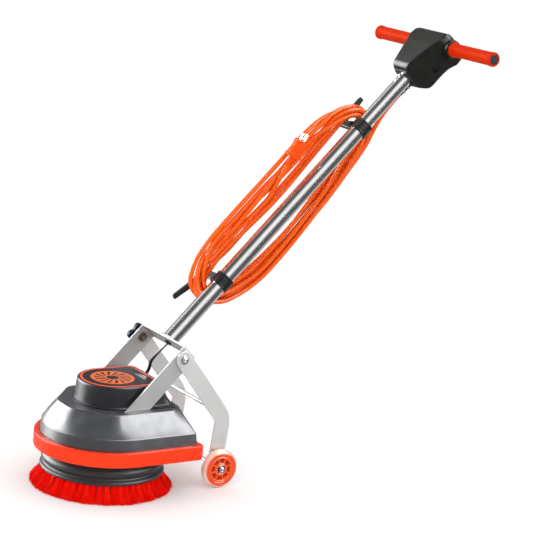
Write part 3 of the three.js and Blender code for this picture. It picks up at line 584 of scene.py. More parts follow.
# Each pass's lane at those stations: how far out it lies, from 0 to 1, and its x.
LANES = [
    ((1.0, -42), (0.9, -47), (0.8, -50), (1.0, -36), (1.0, -36), (0.5, -51)),
    ((0.0, -46), (0.1, -38), (0.0, -44), (0.17, -46), (0.0, -48), (0.0, -45)),
    ((0.3, -34), (0.5, -33), (0.0, -34), (0.83, -38), (0.62, -41), (0.1, -34)),
    ((0.3, -53), (0.1, -50), (0.4, -53), (0.5, -42), (0.82, -38), (0.9, -45)),
    ((0.8, -51), (0.6, -53), (0.5, -41), (0.0, -48), (0.2, -46), (0.55, -39)),
    ((0.75, -33), (1.0, -37), (0.7, -32), (0.67, -40), (0.41, -43), (0.8, -31)),
    ((0.5, -44), (0.5, -43), (1.0, -39), (0.33, -44)),
]
CORD_START = [
    (-14, 27, 821.7), (-14, 27, 806), (-15, 28, 790), (-18, 31, 772), (-23, 37, 752), (-29, 46, 732),
    (-35, 56, 714), (-40, 65, 698), (-42, 71, 684),
]
CORD_FINISH = [(-39, -34, 410), (-33.5, -43.4, 428.2), (-26, -56.1, 458.2), (-17.8, -70, 491)]
HOOK_ARMS = (185, 688)  # their middles, along the handle
ROUNDS, FREE_AFTER = 420, 300  # of settling; the turns keep close to their stations until the second
HELD_START, HELD_END = 8, 24  # points that stay where they are
LOOSE_ENDS = 40  # points at each end that may leave the hooks' width
HOOK_WIDTH = (-53.0, -30.0)  # x of the cord's middle on the hooks
TOUCHING, FARTHEST_MOVE = 1.035, 1.2  # gap between turns in diameters, and mm moved in one round
HOOK_CORE = (12, 4)  # half sizes, along and behind, of a hook's 28 by 12 bar inside its round corners
NEAR = 18  # turns closer than this may touch
HOOK_REACH = 7.4  # from the cord's middle to the core of a hook's bar


def even_steps(points, step):
    points = np.array(points)
    along = np.concatenate(([0], np.cumsum(np.linalg.norm(np.diff(points, axis=0), axis=1))))
    count = max(2, round(along[-1] / step))
    places = np.linspace(0, along[-1], count + 1)
    return np.stack([np.interp(places, along, points[:, k]) for k in range(3)], 1)


def wound_route():
    """Rough route of the cord, as x, behind, along."""
    route = list(CORD_START)
    stations = len(TURN_STATIONS)
    keys = [(turn * stations + key, *lane) for turn, row in enumerate(LANES)
            for key, lane in zip(LANE_STATIONS, row)]
    places, outs, xs = zip(*keys)
    for place in range(2, 6 * stations + 16):
        inner, outer = TURN_STATIONS[place % stations]
        out = np.interp(place, places, outs)
        route.append((np.interp(place, places, xs), inner[1] + out * (outer[1] - inner[1]),
                      inner[0] + out * (outer[0] - inner[0])))
    return route + CORD_FINISH


def close_pairs(points, reach):
    squares = (points ** 2).sum(1)
    gaps = squares[:, None] + squares[None] - 2 * points @ points.T
    near = np.argwhere(gaps < reach * reach)
    return near[near[:, 1] - near[:, 0] > 7].T


def settled(route):
    """Moves the turns apart until they lie on each other, and keeps them off the hooks."""
    points = even_steps(smooth_path(route, 10), SETTLE_STEP)
    for _ in range(12):
        points[1:-1] += (points[:-2] + points[2:] - 2 * points[1:-1]) * 0.25
    count = len(points)
    wanted, places = points.copy(), np.arange(count)
    held = (places > HELD_START) & (places < count - HELD_END)
    wound = (places > LOOSE_ENDS) & (places < count - LOOSE_ENDS)
    for turn in range(ROUNDS):
        if turn % 6 == 0:
            a, b = close_pairs(points, NEAR)
        apart = points[a] - points[b]
        gap = np.maximum(np.linalg.norm(apart, axis=1), 1e-6)
        push = np.maximum(0, CORD_D * TOUCHING - gap)[:, None] * apart / gap[:, None] * 0.42
        move = np.zeros_like(points)
        np.add.at(move, a, push)
        np.add.at(move, b, -push)
        shift = points - wanted
        move[1:-1] += (shift[:-2] + shift[2:] - 2 * shift[1:-1]) * 0.3
        move[4:-4] += (shift[:-8] + shift[8:] - 2 * shift[4:-4]) * 0.05
        move -= shift * (0.02 if turn < FREE_AFTER else 0.003)
        move = np.clip(move, -FARTHEST_MOVE, FARTHEST_MOVE)
        points = np.where(held[:, None], points + move, points)
        points[wound, 0] = np.clip(points[wound, 0], *HOOK_WIDTH)
        for middle in HOOK_ARMS:
            along, behind = points[:, 2] - middle, points[:, 1]
            out = np.stack((np.maximum(np.abs(along) - HOOK_CORE[0], 0),
                            np.maximum(np.abs(behind) - HOOK_CORE[1], 0.01)), 1)
            reach = np.linalg.norm(out, axis=1)
            short = held & (reach < HOOK_REACH)
            shift = (out * ((HOOK_REACH - reach) / reach)[:, None])[short]
            points[short, 2] += np.sign(along[short]) * shift[:, 0]
            points[short, 1] += np.sign(behind[short]) * shift[:, 1]
    return points


# ---- Deck: bumper, shell, motor cover and label ----
RING_Y = 25.0
RAYS = list(np.unique(np.round(np.concatenate((
    np.arange(0, 360, 1.5), np.arange(36, 56, 0.5), np.arange(124, 144, 0.5))), 2)))


def plan_ring(outline):
    return np.array(ray_ring(outline, RING_Y, RAYS))


def bumper_plan(inset):
    return plan_ring(deck_plan(162 - inset, 3, 173.5 - inset, max(14 - inset / 2, 6)))


def plateau_plan(inset):
    half = 121 - inset
    right = [(34, inset - 112), (half, -38), (half, 112), (100 - inset / 2, 140 - inset)]
    return plan_ring(fillet(right + [(-x, y) for x, y in reversed(right)], 17, 8))


def cover_plan(half, rear, corner=16):
    return plan_ring(deck_plan(half, 11, rear, corner))


def at_height(ring, z):
    return [(x, y, z) for x, y in ring]


def levels_of(plan, *rows):
    """Rings of a plan, from rows of its measures with the height last."""
    return [at_height(plan(*row[:-1]), row[-1]) for row in rows]


def stacked(levels, part):
    """A ring between levels [z, ring], smoothly, at a share of the way from the first to the last."""
    place = part * (len(levels) - 1)
    i = min(int(place), len(levels) - 2)
    t = place - i
    get = lambda k: np.array([(x, y, levels[k][0]) for x, y in levels[k][1]])
    low, high = get(i), get(i + 1)
    start = (high - (get(i - 1) if i > 0 else 2 * low - high)) / 2
    end = ((get(i + 2) if i + 2 < len(levels) else 2 * high - low) - low) / 2
    return ((2 * t ** 3 - 3 * t * t + 1) * low + (t ** 3 - 2 * t * t + t) * start
            + (3 * t * t - 2 * t ** 3) * high + (t ** 3 - t * t) * end)


def crowned(low, high, part, crown):
    """A ring between two levels (z, ring), part of the way up, swollen outward in between."""
    (z0, first), (z1, second) = low, high
    ring = np.array(first) * (1 - part) + np.array(second) * part
    out = ring - (0, RING_Y)
    ring = ring + out / np.linalg.norm(out, axis=1)[:, None] * crown * 4 * part * (1 - part)
    return at_height(ring, z0 + (z1 - z0) * part)


def deck_shell_piece():
    wall, top, foot_inset = 3.0, 195.5, 12.8
    foot, brow = (146.8, bumper_plan(17.4)), (192.6, plateau_plan(0.8))
    inner_foot, inner_brow = (145, bumper_plan(17 + wall)), (189, plateau_plan(wall + 0.8))
    rings = levels_of(bumper_plan, (foot_inset, 90), (foot_inset, 120))
    rings += [at_height(bumper_plan(foot_inset + 2.6 * k / 4), 120 + 23 * k / 4) for k in range(1, 5)]
    rings += levels_of(bumper_plan, (15.5, 144.2), (15.9, 145.4), (16.5, 146.3))
    rings += [crowned(foot, brow, k / 16, 2.4) for k in range(17)]
    rings += levels_of(plateau_plan, (1.3, 193.8), (2.2, 194.9), (3.6, top), (5.2, top))
    hole = plan_ring(deck_plan(72, 11, 98, 14))
    rings += [at_height(hole, top)]
    rings += [at_height(ring, top - wall) for ring in (hole, plateau_plan(wall + 3))]
    rings += [crowned(inner_foot, inner_brow, 1 - k / 8, 1.6) for k in range(9)]
    rings.append(at_height(bumper_plan(foot_inset + wall), 90))
    shell = piece("deck_shell_skin", skin(rings, loop=True), BASE, "deck", deck_black,
                  ["deck_shell"])
    slots = [fillet([(side * 91.5, -24), (side * 100, -24), (side * 100, 125), (side * 91.5, 125)], 2.5)
             for side, _ in SIDES]
    carve(shell, BASE, *(plate(slot, 170, 200, 0.01, 1) for slot in slots))


def bumper_piece():
    profile = fillet([(0, 86, 2.5), (0, 119, 2.5), (12, 119, 1.2), (12, 86, 1.2)], 2, 4)
    rings = levels_of(bumper_plan, *profile)
    piece("bumper_band_moulding", skin(rings, loop=True), BASE, "deck",
          bumper_paint, ["bumper_band"])


def cover_piece():
    outer = [(z, cover_plan(half, rear)) for half, rear, z in (
        (84, 132, 196), (83.5, 127, 201.5), (82, 113, 219.5), (80.2, 108.2, 240))]
    inner = [(z, cover_plan(half, rear)) for half, rear, z in (
        (81, 127, 195.8), (79, 110, 219), (77, 105, 241))]
    rings = levels_of(cover_plan, (30, 50, 12, 242.5), (75, 103, 242.5))
    rings += [stacked(inner, 1 - k / 4) for k in range(5)]
    rings += [at_height(cover_plan(half, rear, 18), z) for half, rear, z in (
        (87.3, 132.3, 195.8), (88, 133, 196.3), (88, 133, 197.9), (87.4, 132.4, 198.5),
        (85.6, 130.6, 198.7), (84.6, 129.2, 199.2), (83.9, 128.2, 200.2))]
    rings += [stacked(outer, k / 10) for k in range(3, 11)]
    rings += levels_of(
        cover_plan, (79.9, 107.7, 242.4), (79.3, 107, 244.2), (78.3, 106, 245.4), (77.1, 104.9, 245.9),
        (76.2, 104, 245.9), (75.6, 103.4, 245.4), (75.3, 103, 244.9), (40, 60, 244.9))
    piece("motor_cover_shell", skin(rings), BASE, "deck", cover_black, ["motor_cover"])


def label_piece():
    """A raised edge that is orange all over, round a printed field."""
    rings = [at_height(cover_plan(half, rear, 14), z) for half, rear, z in (
        (74.4, 101.4, 244.9), (74.4, 101.4, 246.1), (73.9, 100.9, 246.5), (68.6, 95.6, 246.5),
        (68.1, 95.1, 246.3), (67.6, 94.6, 246.3))]
    rings.append(at_height(cover_plan(40, 60, 12), 246.3))
    label = piece("label_plate", skin(rings), BASE, "deck", LABEL, ["cover_label"])
    label.data.materials.append(button_plastic)
    middle = Vector((0, (BRUSH_Y + RING_Y) * MM, 0))
    limits = np.linalg.norm(cover_plan(68.3, 95.3, 14) - (0, RING_Y), axis=1) * MM
    for face in label.data.polygons:
        out = (face.center - middle).xy
        angle = math.degrees(math.atan2(out.y, out.x)) % 360
        if out.length > np.interp(angle, RAYS, limits, period=360) and face.center.z > 0.2461:
            face.material_index = 1


def text_bars():
    """Plain bars where the label carries its print."""
    parts = []
    for left, right, y in ((-12, 34, 77), (-4, 26, 83), (2, 20, 88)):
        corners = [(left, y - 1.4), (right, y - 1.4), (right, y + 1.4), (left, y + 1.4)]
        parts.append(plate(fillet(corners, 1.2), 246.2, 246.55, 0.1, 1))
    piece("label_bars", merged(*parts), BASE, "deck", print_white)


deck_shell_piece()
bumper_piece()
cover_piece()
label_piece()
text_bars()

# ---- Brush ----
def brush_block_piece():
    profile = fillet([(20, 58, 1), (90, 58, 2), (94, 37.5, 1.5), (142.3, 37.5, 1.6), (142.3, 43.5, 5),
                      (133, 50.5, 6), (140.5, 57.5, 4.5), (139.5, 67, 4), (131, 78, 9), (129, 88, 1.5),
                      (20, 88, 1)], 2, 6)
    piece("brush_block_moulding", lathe(profile, 128), BASE, "brush", block_grey,
          ["brush_block"], 30)


def bristle_piece():
    rng = random.Random(7)
    vertices, faces = [], []
    root_z, tip_limit, thick, spans = 37.2, 165.5, 0.75, 3

    def fibre(angle, root, tip, sway, tip_z):
        start = len(vertices)
        for k in range(spans + 1):
            t = k / spans
            radius = root + (tip - root) * (0.45 * t + 0.55 * t * t)
            z = root_z + (tip_z - root_z) * t
            turn = angle + sway * t * t
            fat = thick * (1 - 0.35 * t)
            for c in range(3):
                spread = 2 * math.pi * c / 3 + angle * 7
                r = radius + fat * math.cos(spread)
                a = turn + fat * math.sin(spread) / radius
                vertices.append((r * math.cos(a), r * math.sin(a), z))
        for a in range(start, start + spans * 3, 3):
            faces.extend((a + c, a + (c + 1) % 3, a + 3 + (c + 1) % 3, a + 3 + c) for c in range(3))
        last = start + spans * 3
        faces.extend(((start + 2, start + 1, start), (last, last + 1, last + 2)))

    for root, tip, count, per_tuft in ((136.5, 160.5, 58, 84), (127, 149, 54, 50), (117, 133, 48, 34),
                                       (106, 118, 44, 34)):
        shift = rng.random()
        spacing = 2 * math.pi / count
        for tuft in range(count):
            middle = 2 * math.pi * (tuft + shift + rng.uniform(-0.05, 0.05)) / count
            lean = rng.uniform(-0.006, 0.006)
            reach = rng.uniform(-1.2, 1.2)
            for _ in range(per_tuft):
                side = max(-1.35, min(1.35, rng.gauss(0, 0.55)))
                depth = rng.uniform(-1, 1)
                sway = lean + side * spacing * 0.32 + rng.gauss(0, 0.010)
                end = tip + reach + depth * 3.0 + rng.gauss(0, 1.7) - abs(side) * 1.4
                low = max(0.15, abs(rng.gauss(0, 2.0)) + (tip - end) * 0.12)
                fibre(middle + side * 4.6 / root, root + depth * 2.6, min(end, tip_limit), sway, low)
    return vertices, faces


def bristle_core():
    profile = [(101, 37.2), (134, 37.2), (138, 24), (142, 12), (140, 8), (112, 8), (104, 24)]
    return lathe(fillet(profile, 2, 2), 96)


brush_block_piece()
piece("bristles", bristle_piece(), BASE, "brush", FIBRE, ["bristle_ring"])
# Painted shade: a dark solid inside the ring of tufts, where there is only shade between the bristles.
piece("root_shade_core", bristle_core(), BASE, "brush", PAINTED_ROOT_SHADE)

# ---- Yoke, tubes, clamps and hooks ----
def bent_path(corners, radius, steps=8):
    """An open path with rounded corners, in three dimensions."""
    points = [Vector(c) for c in corners]
    out = [points[0]]
    for i in range(1, len(points) - 1):
        corner = points[i]
        out += rounded(corner + (points[i - 1] - corner).normalized() * radius, corner,
                       corner + (points[i + 1] - corner).normalized() * radius, steps)
    return out + [points[-1]]


def yoke_piece():
    corners = [(-YOKE_X, 0, -YOKE_REACH), (-YOKE_X, 0, 0), (YOKE_X, 0, 0), (YOKE_X, 0, -YOKE_REACH)]
    strip = swept(bent_path(corners, 5.5), fillet(block(2, 22), 0.6, 2), up=(0, 1, 0))
    ends = [on_x(plate(circle(22, 64), -2, 2, 0.6), side * YOKE_X, 0, -YOKE_REACH) for side, _ in SIDES]
    handle_piece("yoke_flat_bar", merged(strip, *ends), flat_steel, ["yoke_bracket"], 30)


def tube_pieces():
    for name, sizes in (("lower", (17.7, 19.3, 2.3, 701)), ("upper", (15.9, 17.5, 560, 925))):
        handle_piece(f"{name}_tube_polished", sleeve(*sizes, 0.5, 96), tube_steel,
                     [f"{name}_tube"])
    seat = lathe(fillet([(19.4, 2.2), (25, 2.2, 0.4), (23.5, 4.4, 1), (19.4, 6.5, 0.2)], 0.5, 3))
    handle_piece("tube_weld", seat, flat_steel)


def clamp_pieces(name, base, sign, length, lean):
    ring = sleeve(19.45, 22.7, base, base + 30, 1.0, 96)
    lips = [sleeve(20, 23.2, base + a, base + b, 0.8, 96) for a, b in ((0.1, 4), (26, 29.9))]
    ear = fillet([(5.5, -23.6), (13, -23.6), (14.5, -14), (4.5, -14)], 1.2)
    ear = plate(ear, base + 1, base + 29, 0.8)
    handle_piece(f"{name}_clamp_collar", merged(ring, *lips, ear), hard_black,
                 [f"{name}_hook_clamp"])
    near = base + 2 if sign > 0 else base + 28
    def flat(corners, radius, half, edge):
        outline = fillet([(x, near + sign * along) for x, along in corners], radius, 5)
        return turned_to(UPRIGHT, plate(outline, -half, half, edge, 3))

    arm = flat([(-20, 0), (-78, 1.5), (-86, 13), (-84, 27), (-71, 27), (-62, 18.5), (-40, 21.5),
                (-20, 27)], 3.5, 6, 2.2)
    finger = flat([(-86.5, 9), (-88, length - 5), (-84, length), (-79, length), (-70, 18), (-72, 9)],
                  3.5, 5.8, 2.4)
    root = near + sign * 16
    tilt = (Matrix.Translation((0, 0, root)) @ Matrix.Rotation(math.radians(lean), 4, "X")
            @ Matrix.Translation((0, 0, -root)))
    handle_piece(f"{name}_hook_moulding", merged(arm, turned_to(tilt, finger)),
                 hard_black, [f"{name}_cord_hook"])


yoke_piece()
tube_pieces()
clamp_pieces("lower", 171, -1, 108, -11)
clamp_pieces("upper", 672, 1, 92, 0)

# ---- Pivot bolt, nut and knob ----
ARM_PIVOT = -22.0


def hex_ring(flats, z, count=48):
    ring = []
    for k in range(count):
        a = 2 * math.pi * k / count
        fold = a % (math.pi / 3) - math.pi / 6
        reach = flats / math.cos(fold)
        ring.append((reach * math.cos(a), reach * math.sin(a), z))
    return ring


def socket_bolt(radius, height, socket, depth):
    """A button head with a hexagon socket, standing on z = 0."""
    rings = [round_ring(radius * 0.5, 0), round_ring(radius, 0), round_ring(radius, height * 0.12)]
    for k in range(1, 7):
        t = k / 6 * math.pi * 0.36
        rings.append(round_ring(radius - (radius - socket * 1.45) * (1 - math.cos(t)) / 0.574,
                                height * (0.12 + 0.88 * math.sin(t) / math.sin(math.pi * 0.36))))
    rings += [hex_ring(socket, height), hex_ring(socket * 0.98, height - 0.4),
              hex_ring(socket * 0.96, height - depth), round_ring(0.3, height - depth - 0.8)]
    return skin(rings)


def hex_nut(flats, low, high, chamfer=0.8):
    rings = [round_ring(flats * 0.9, low), hex_ring(flats * 0.99, low + chamfer * 0.3),
             hex_ring(flats, low + chamfer), hex_ring(flats, high - chamfer),
             hex_ring(flats * 0.99, high - chamfer * 0.3), round_ring(flats * 0.9, high)]
    return skin(rings)


def on_pivot(part, x=0.0):
    return on_x(part, x, 0, ARM_PIVOT)


def bolt_pieces():
    head = merged(on_pivot(sleeve(0.5, 10.2, 102.4, 103.4, 0.3)),
                  on_pivot(socket_bolt(8.4, 4.0, 2.7, 2.2), 103.4),
                  on_pivot(rod(4.9, 88, 103)), on_pivot(hex_nut(7.6, 87.8, 93.4)))
    handle_piece("pivot_bolt_chrome", head, bright_steel, ["left_pivot_bolt"])
    washer = on_pivot(merged(sleeve(5.4, 11, -93.2, -91.4), sleeve(5.3, 9.2, -91.6, -88.6, 1.1)))
    handle_piece("clamp_nut_bronze", washer, bronze_steel, ["clamp_nut"])


def knob_piece():
    levels = [(0.72, -117.0), (0.93, -116.9), (0.985, -116.0), (1, -114.4), (1, -108), (0.985, -106.4),
              (0.93, -105.6), (0.6, -105.3)]
    count, small, deep, lobes = 150, 21, 9, 5
    rings = []
    for share, x in levels:
        ring = []
        for a in (2 * math.pi * k / count for k in range(count)):
            lobe = (0.5 + 0.5 * math.cos(lobes * a)) ** 0.62
            radius = (small + deep * lobe) * share - (1 - share) * 2
            ring.append((radius * math.cos(a), radius * math.sin(a), x))
        rings.append(ring)
    boss, neck = (lathe(fillet([(CORE, start[1]), start, end, (CORE, last)], 0.1, 3), 48)
                  for start, end, last in (((11, -118.4, 1.5), (12.5, -116.6, 1), -116),
                                           ((14, -107, 1), (12, -102.6, 1), -102.6)))
    stud = lathe([(CORE, -107), (4.9, -107), (4.9, -88), (4.2, -87), (CORE, -87)], 32)
    turn = Matrix.Rotation(math.radians(144), 4, "X")
    place = HANDLE @ Matrix.Translation((0, 0, ARM_PIVOT)) @ turn @ ALONG_X
    piece("clamp_knob_moulding", merged(skin(rings), boss, neck), place, "knob",
          knob_navy, ["clamp_knob"], 40)
    piece("clamp_stud", stud, place, "knob", bright_steel)


bolt_pieces()
knob_piece()

# ---- Head: two shells, collars, grips, trigger and button ----
# Along, half width in front and behind, front, rear, and the size of the front corner's scoop
HEAD_SECTIONS = [
    (856, 30, 27, -26, 29, 5), (858.5, 34, 30, -32, 33, 7), (863, 38, 34, -37, 38, 9.5),
    (871, 41.5, 38, -40, 46, 11), (879, 44, 39, -40.5, 50, 11.5), (890, 47, 39.5, -41, 51, 11.5),
    (915, 54, 40.5, -41, 50, 10.5),
    (937, 59.5, 45, -40.5, 49, 9), (948, 62.5, 53, -39.5, 48, 7), (957, 65, 62.5, -38.5, 47, 5),
    (966, 65.6, 64, -37.5, 46, 5), (977, 65, 63.5, -36, 44, 5),
    (984, 62.5, 61, -31.5, 39, 5), (989, 58, 57, -25, 32, 4), (991, 51, 50, -18, 24, 3),
]
HEAD_RAYS = np.arange(0, 360, 2.5)
HEAD_SEAM, SEAM_GAP = 8, 0.25
SCREW = (45.4, 17, 911)  # the left side screw's place


def head_ring(s, front, rear, low, high, scoop):
    inward, depth = 0.2 * scoop, 1.9 * scoop
    half = [(front - scoop, low, 3.5),
            (front - scoop / 2 - inward, low + depth / 2 + inward, scoop * 0.5),
            (front, low + depth, 3.0), (rear, high, 11)]
    other = [(-x, y, r) for x, y, r in reversed(half)]
    ring = ray_ring(fillet(half + other, 3, 6), 4, HEAD_RAYS)
    return [(x, y, s) for x, y in ring]


def head_solid():
    sections = smooth_path(HEAD_SECTIONS, 4)
    rings = [head_ring(*row) for row in sections]
    first, last = sections[0], sections[-1]

    def cap(row, *ends):
        return [head_ring(row[0] + rise, *(np.array(row[1:5]) * (1 - shrink)), row[5])
                for rise, shrink in ends]

    return skin(cap(first, (-1.6, 0.10), (-1.2, 0.035)) + rings + cap(last, (0.5, 0.05), (0.8, 0.16)))


def half_of(part, front):
    """The part of a solid in front of the head's seam, or behind it."""
    mesh = mesh_from("half", *part)
    work = bmesh.new()
    work.from_mesh(mesh)
    seam = HEAD_SEAM + (-SEAM_GAP if front else SEAM_GAP)
    geometry = work.verts[:] + work.edges[:] + work.faces[:]
    cut = bmesh.ops.bisect_plane(work, geom=geometry, plane_co=(0, seam, 0), plane_no=(0, 1, 0),
                                 clear_outer=front, clear_inner=not front)
    rim = [e for e in cut["geom_cut"] if isinstance(e, bmesh.types.BMEdge)]
    bmesh.ops.holes_fill(work, edges=rim, sides=0)
    work.verts.index_update()
    out = [tuple(v.co) for v in work.verts], [tuple(v.index for v in f.verts) for f in work.faces]
    work.free()
    bpy.data.meshes.remove(mesh)
    return out


def on_bar(part):
    """A part drawn about z, laid on the handlebar's axis."""
    return on_x(part, 0, 0, HEAD_S)


def screw_place(side):
    """Axes of a screw's boss on the head's side, in the handle's frame, with z outward."""
    out = Vector((0.93 * side, 0.12, -0.35)).normalized()
    across = out.cross(Vector((0, 1, 0))).normalized()
    place = Matrix.Translation((SCREW[0] * side, *SCREW[1:]))
    return place @ Matrix((across, out.cross(across), out)).transposed().to_4x4()


def head_pieces():
    solid = head_solid()
    pocket = fillet([(-24, 881), (24, 881), (24, 944), (-24, 944)], 4)
    boss = lathe([(CORE, -3.4), (8.2, -3.4), (9.0, 9), (CORE, 9)], 40)
    tools = [rod(17.9, 840, 880, 64)] + [turned_to(screw_place(side), boss) for side, _ in SIDES]
    own = {"front": [shifted(rod(9.6, 978, 1000, 48), 0, BUTTON_BEHIND)],
           "rear": [turned_to(UPRIGHT, plate(pocket, 31, 70, 0.01, 1)),
                    shifted(rod(8.6, 850, 866), *RELIEF)]}
    for name in own:
        shell = handle_piece(f"head_{name}_moulding", half_of(solid, name == "front"),
                             head_black, [f"head_{name}_shell"], 38)
        carve(shell, HANDLE, *tools, *own[name])
    head = lathe(fillet([(CORE, -3.3), (6, -3.3), (6, -1.2, 1.4), (4.6, 0, 0.8), (CORE, 0)], 0.3, 3), 40)
    collar = lathe(fillet([(16.8, 30), (22, 30), (25.5, 52, 8), (23, 66, 8), (21.6, 73, 2),
                           (20.6, 74.2, 1), (17.5, 74.2, 1), (16.8, 72)], 0.5, 5), 96)
    for side, name in SIDES:
        axes = screw_place(side)
        screw = handle_piece(f"head_screw_{name}", turned_to(axes, head), hard_black)
        carve(screw, HANDLE, *(turned_to(axes, plate(fillet(block(w, h), 0.3), -1.6, 2, 0.01, 1))
                               for w, h in ((3.8, 0.7), (0.7, 3.8))))
        handle_piece(f"{name}_collar", on_bar(mirrored(collar, side)), head_black)


def grip_pieces():
    grip = lathe(fillet([(12.6, 74.6), (18.2, 74.6, 1), (18.2, 77.6, 2), (16.1, 82, 4), (16.0, 120, 1),
                         (16.1, 212.2, 0.4), (15.5, 212.8, 0.3), (15.5, 214.2, 0.3), (16.3, 215.0, 0.6),
                         (17.3, 218, 3), (17.4, 224, 2.2), (15.6, 226.5, 1.6), (12.4, 226.5, 0.5),
                         (12.2, 225.6, 0.2), (12.2, 224)], 0.5, 5), 96)
    cap = lathe(fillet([(CORE, 222), (12.2, 222), (12.2, 225.2, 0.5), (11.2, 225.7, 0.4),
                        (CORE, 225.9)], 0.2, 3))
    for side, name in SIDES:
        handle_piece(f"{name}_grip_rubber", on_bar(mirrored(grip, side)), grip_rubber,
                     [f"{name}_grip"], 30)
        handle_piece(f"{name}_grip_cap", on_bar(mirrored(cap, side)), cap_blue)
    handle_piece("handlebar_tube", on_bar(sleeve(10.5, 12.5, -223.1, 223.1, 0.4)),
                 bright_steel, ["handlebar"])


def control_pieces():
    side = fillet([(42, 883), (49, 883, 3), (53, 900, 9), (51, 930, 9), (49, 941, 4), (40, 941),
                   (40, 932)], 3, 5)
    lever = turned_to(ALONG_X, plate(side, -22.5, 22.5, 1.8, 4))
    piece("trigger_moulding", lever, HANDLE, "trigger", hard_black, ["trigger_lever"])
    button = fillet([(CORE, 984), (9, 984), (9, 992.6, 1.2), (7.6, 993.4, 0.8), (6.4, 992.8, 0.8),
                     (CORE, 992.6)], 0.3, 4)
    piece("lock_button_cap", shifted(lathe(button), 0, BUTTON_BEHIND), HANDLE, "lock",
          button_plastic, ["lock_button"])


def tube_bolts():
    head = fillet([(CORE, -21.6), (2.4, -21.4, 1), (4.2, -19.6, 1), (4.2, -17.2), (CORE, -17.2)],
                  0.3, 3)
    bolt = turned_to(UPRIGHT, merged(sleeve(CORE, 2, -19, 28, 0.2, 24), lathe(head, 32),
                                     hex_nut(3.6, 17.4, 20.8, 0.4)))
    handle_piece("head_tube_bolts", merged(*(shifted(bolt, 0, 0, along) for along in (832, 847))),
                 bright_steel)


head_pieces()
grip_pieces()
control_pieces()
tube_bolts()

# ---- Wheel frame ----
def arm_pieces():
    """Bars of one half width round the pivot, the bend and the wheel."""
    half = 20
    points = [Vector(p) for p in ((135.73, 306.61), (252.5, 159), WHEEL)]
    first, second = ((points[k + 1] - points[k]).normalized() for k in range(2))
    n1, n2 = Vector((-first.y, first.x)), Vector((-second.y, second.x))
    a1, a2 = (math.degrees(math.atan2(n.y, n.x)) for n in (n1, n2))
    to_outer = (n1 + n2) * (half / (1 + n1.dot(n2)))
    inner, outer = points[1] - to_outer, points[1] + to_outer
    leave, enter = outer + second * 30, outer - first * 30
    outline = arc(*points[0], half, a1, a1 + 180, 24) + [inner]
    outline += arc(*points[2], half, a2 + 180, a2 + 360, 24)
    outline += [leave.lerp(outer, t).lerp(outer.lerp(enter, t), t) for t in (k / 14 for k in range(15))]
    for side, name in SIDES:
        arm = turned_to(ALONG_X, plate(outline, *sorted((side * 98.2, side * 102.2)), 0.7, 3))
        piece(f"{name}_arm_bar", arm, BASE, "wheel_frame", arm_steel,
              [f"{name}_wheel_arm"], 30)
    brace = on_x(sleeve(CORE, 4, -98, 98, 0.4, 32), 0, 223, 184)
    piece("brace_rod_steel", brace, BASE, "wheel_frame", arm_steel, ["brace_rod"])
    ends = [mirrored(end, side) for side, _ in SIDES for end in (
        hex_nut(5.6, 102.4, 107.9, 0.5), shifted(socket_bolt(6.4, 4.2, 2.6, 2.6), 0, 0, 132.7))]
    piece("axle_steel", on_x(merged(rod(4, -136, 136, 40), *ends), 0, *WHEEL), BASE, "wheel_frame",
          bright_steel, ["wheel_axle"])


def even_lathe(profile, count=96):
    """Turned, and the same on both sides of z = 0, from its upper half as (radius, z) outward."""
    whole = profile + [(r, -z, *rest) for r, z, *rest in reversed(profile)]
    return lathe(fillet(whole, 0.5, 5), count)


def wheel_pieces():
    tyre = even_lathe([(30.6, 10.6, 0.6), (32, 11.6, 1.4), (37, 12.2, 4), (42.4, 9.2, 5),
                       (44.9, 3.5, 5)])
    rim = even_lathe([(25.4, 9.4, 0.5), (26.6, 11.8, 0.9), (28.6, 12.2, 0.9), (30.7, 10.4, 0.5)])
    boss = even_lathe([(11.1, 11.2, 0.3), (13.6, 11.4, 0.6), (15.8, 10.2, 1.5), (16.6, 3, 1)], 64)
    spoke = plate(fillet([(15, -1.5), (26, -2.2), (26, 2.2), (15, 1.5)], 0.5), -9.8, 9.8, 0.7)
    spokes = [turned_to(Matrix.Rotation(math.pi / 4 * k + 0.3, 4, "Z"), spoke) for k in range(8)]
    races = merged(*(even_lathe(race, 64) for race in ([(8.9, 10.9, 0.4), (11.0, 10.9, 0.4)],
                                                       [(4.3, 11.2, 0.3), (6.4, 11.2, 0.4)])))
    web, shield = even_lathe([(15.5, 3.4), (26, 3.4)], 64), even_lathe([(6.2, 10.1), (9.1, 10.1)], 64)
    rows = (
        ("tyre_rubber", tyre, "tyre_clear", TYRE, "tyre", 50),
        ("hub_moulding", merged(rim, boss, *spokes), "hub_orange", hub_plastic, "wheel_hub", CREASE),
        # Painted shade: the web between the spokes is the hub's orange plastic, darkened for the shade in
        # its recesses.
        ("web_shade", web, "hub_orange", painted_recess_shade, None, CREASE),
        ("bearing_races", races, "plain_steel", bright_steel, "wheel_bearing", CREASE),
        ("bearing_shield", shield, "plain_steel", hard_black, None, CREASE),
    )
    for side, name in SIDES:
        place = BASE @ Matrix.Translation((side * 120, *WHEEL)) @ ALONG_X
        for kind, part, slot, material, node, crease in rows:
            piece(f"{name}_{kind}", part, place, f"{name}_wheel", material,
                  [f"{name}_{node}"] if node else (), crease)


arm_pieces()
wheel_pieces()

# ---- Power cord, plug and the motor's cable ----
def relief_part(low, length, small, large, grooves):
    """A tapered strain relief with rings, drawn up z and closed."""
    profile = [(CORE, low)]
    for k in range(grooves):
        a, b = k / grooves, (k + 0.62) / grooves
        ra, rb = small + (large - small) * a, small + (large - small) * b
        profile += [(ra, low + length * a), (rb, low + length * b), (rb - 1.1, low + length * (b + 0.02)),
                    (rb - 0.9, low + length * (a + 1 / grooves - 0.02 / grooves))]
    profile += [(large, low + length), (CORE, low + length)]
    return lathe(fillet(profile, 0.25, 2), 48)


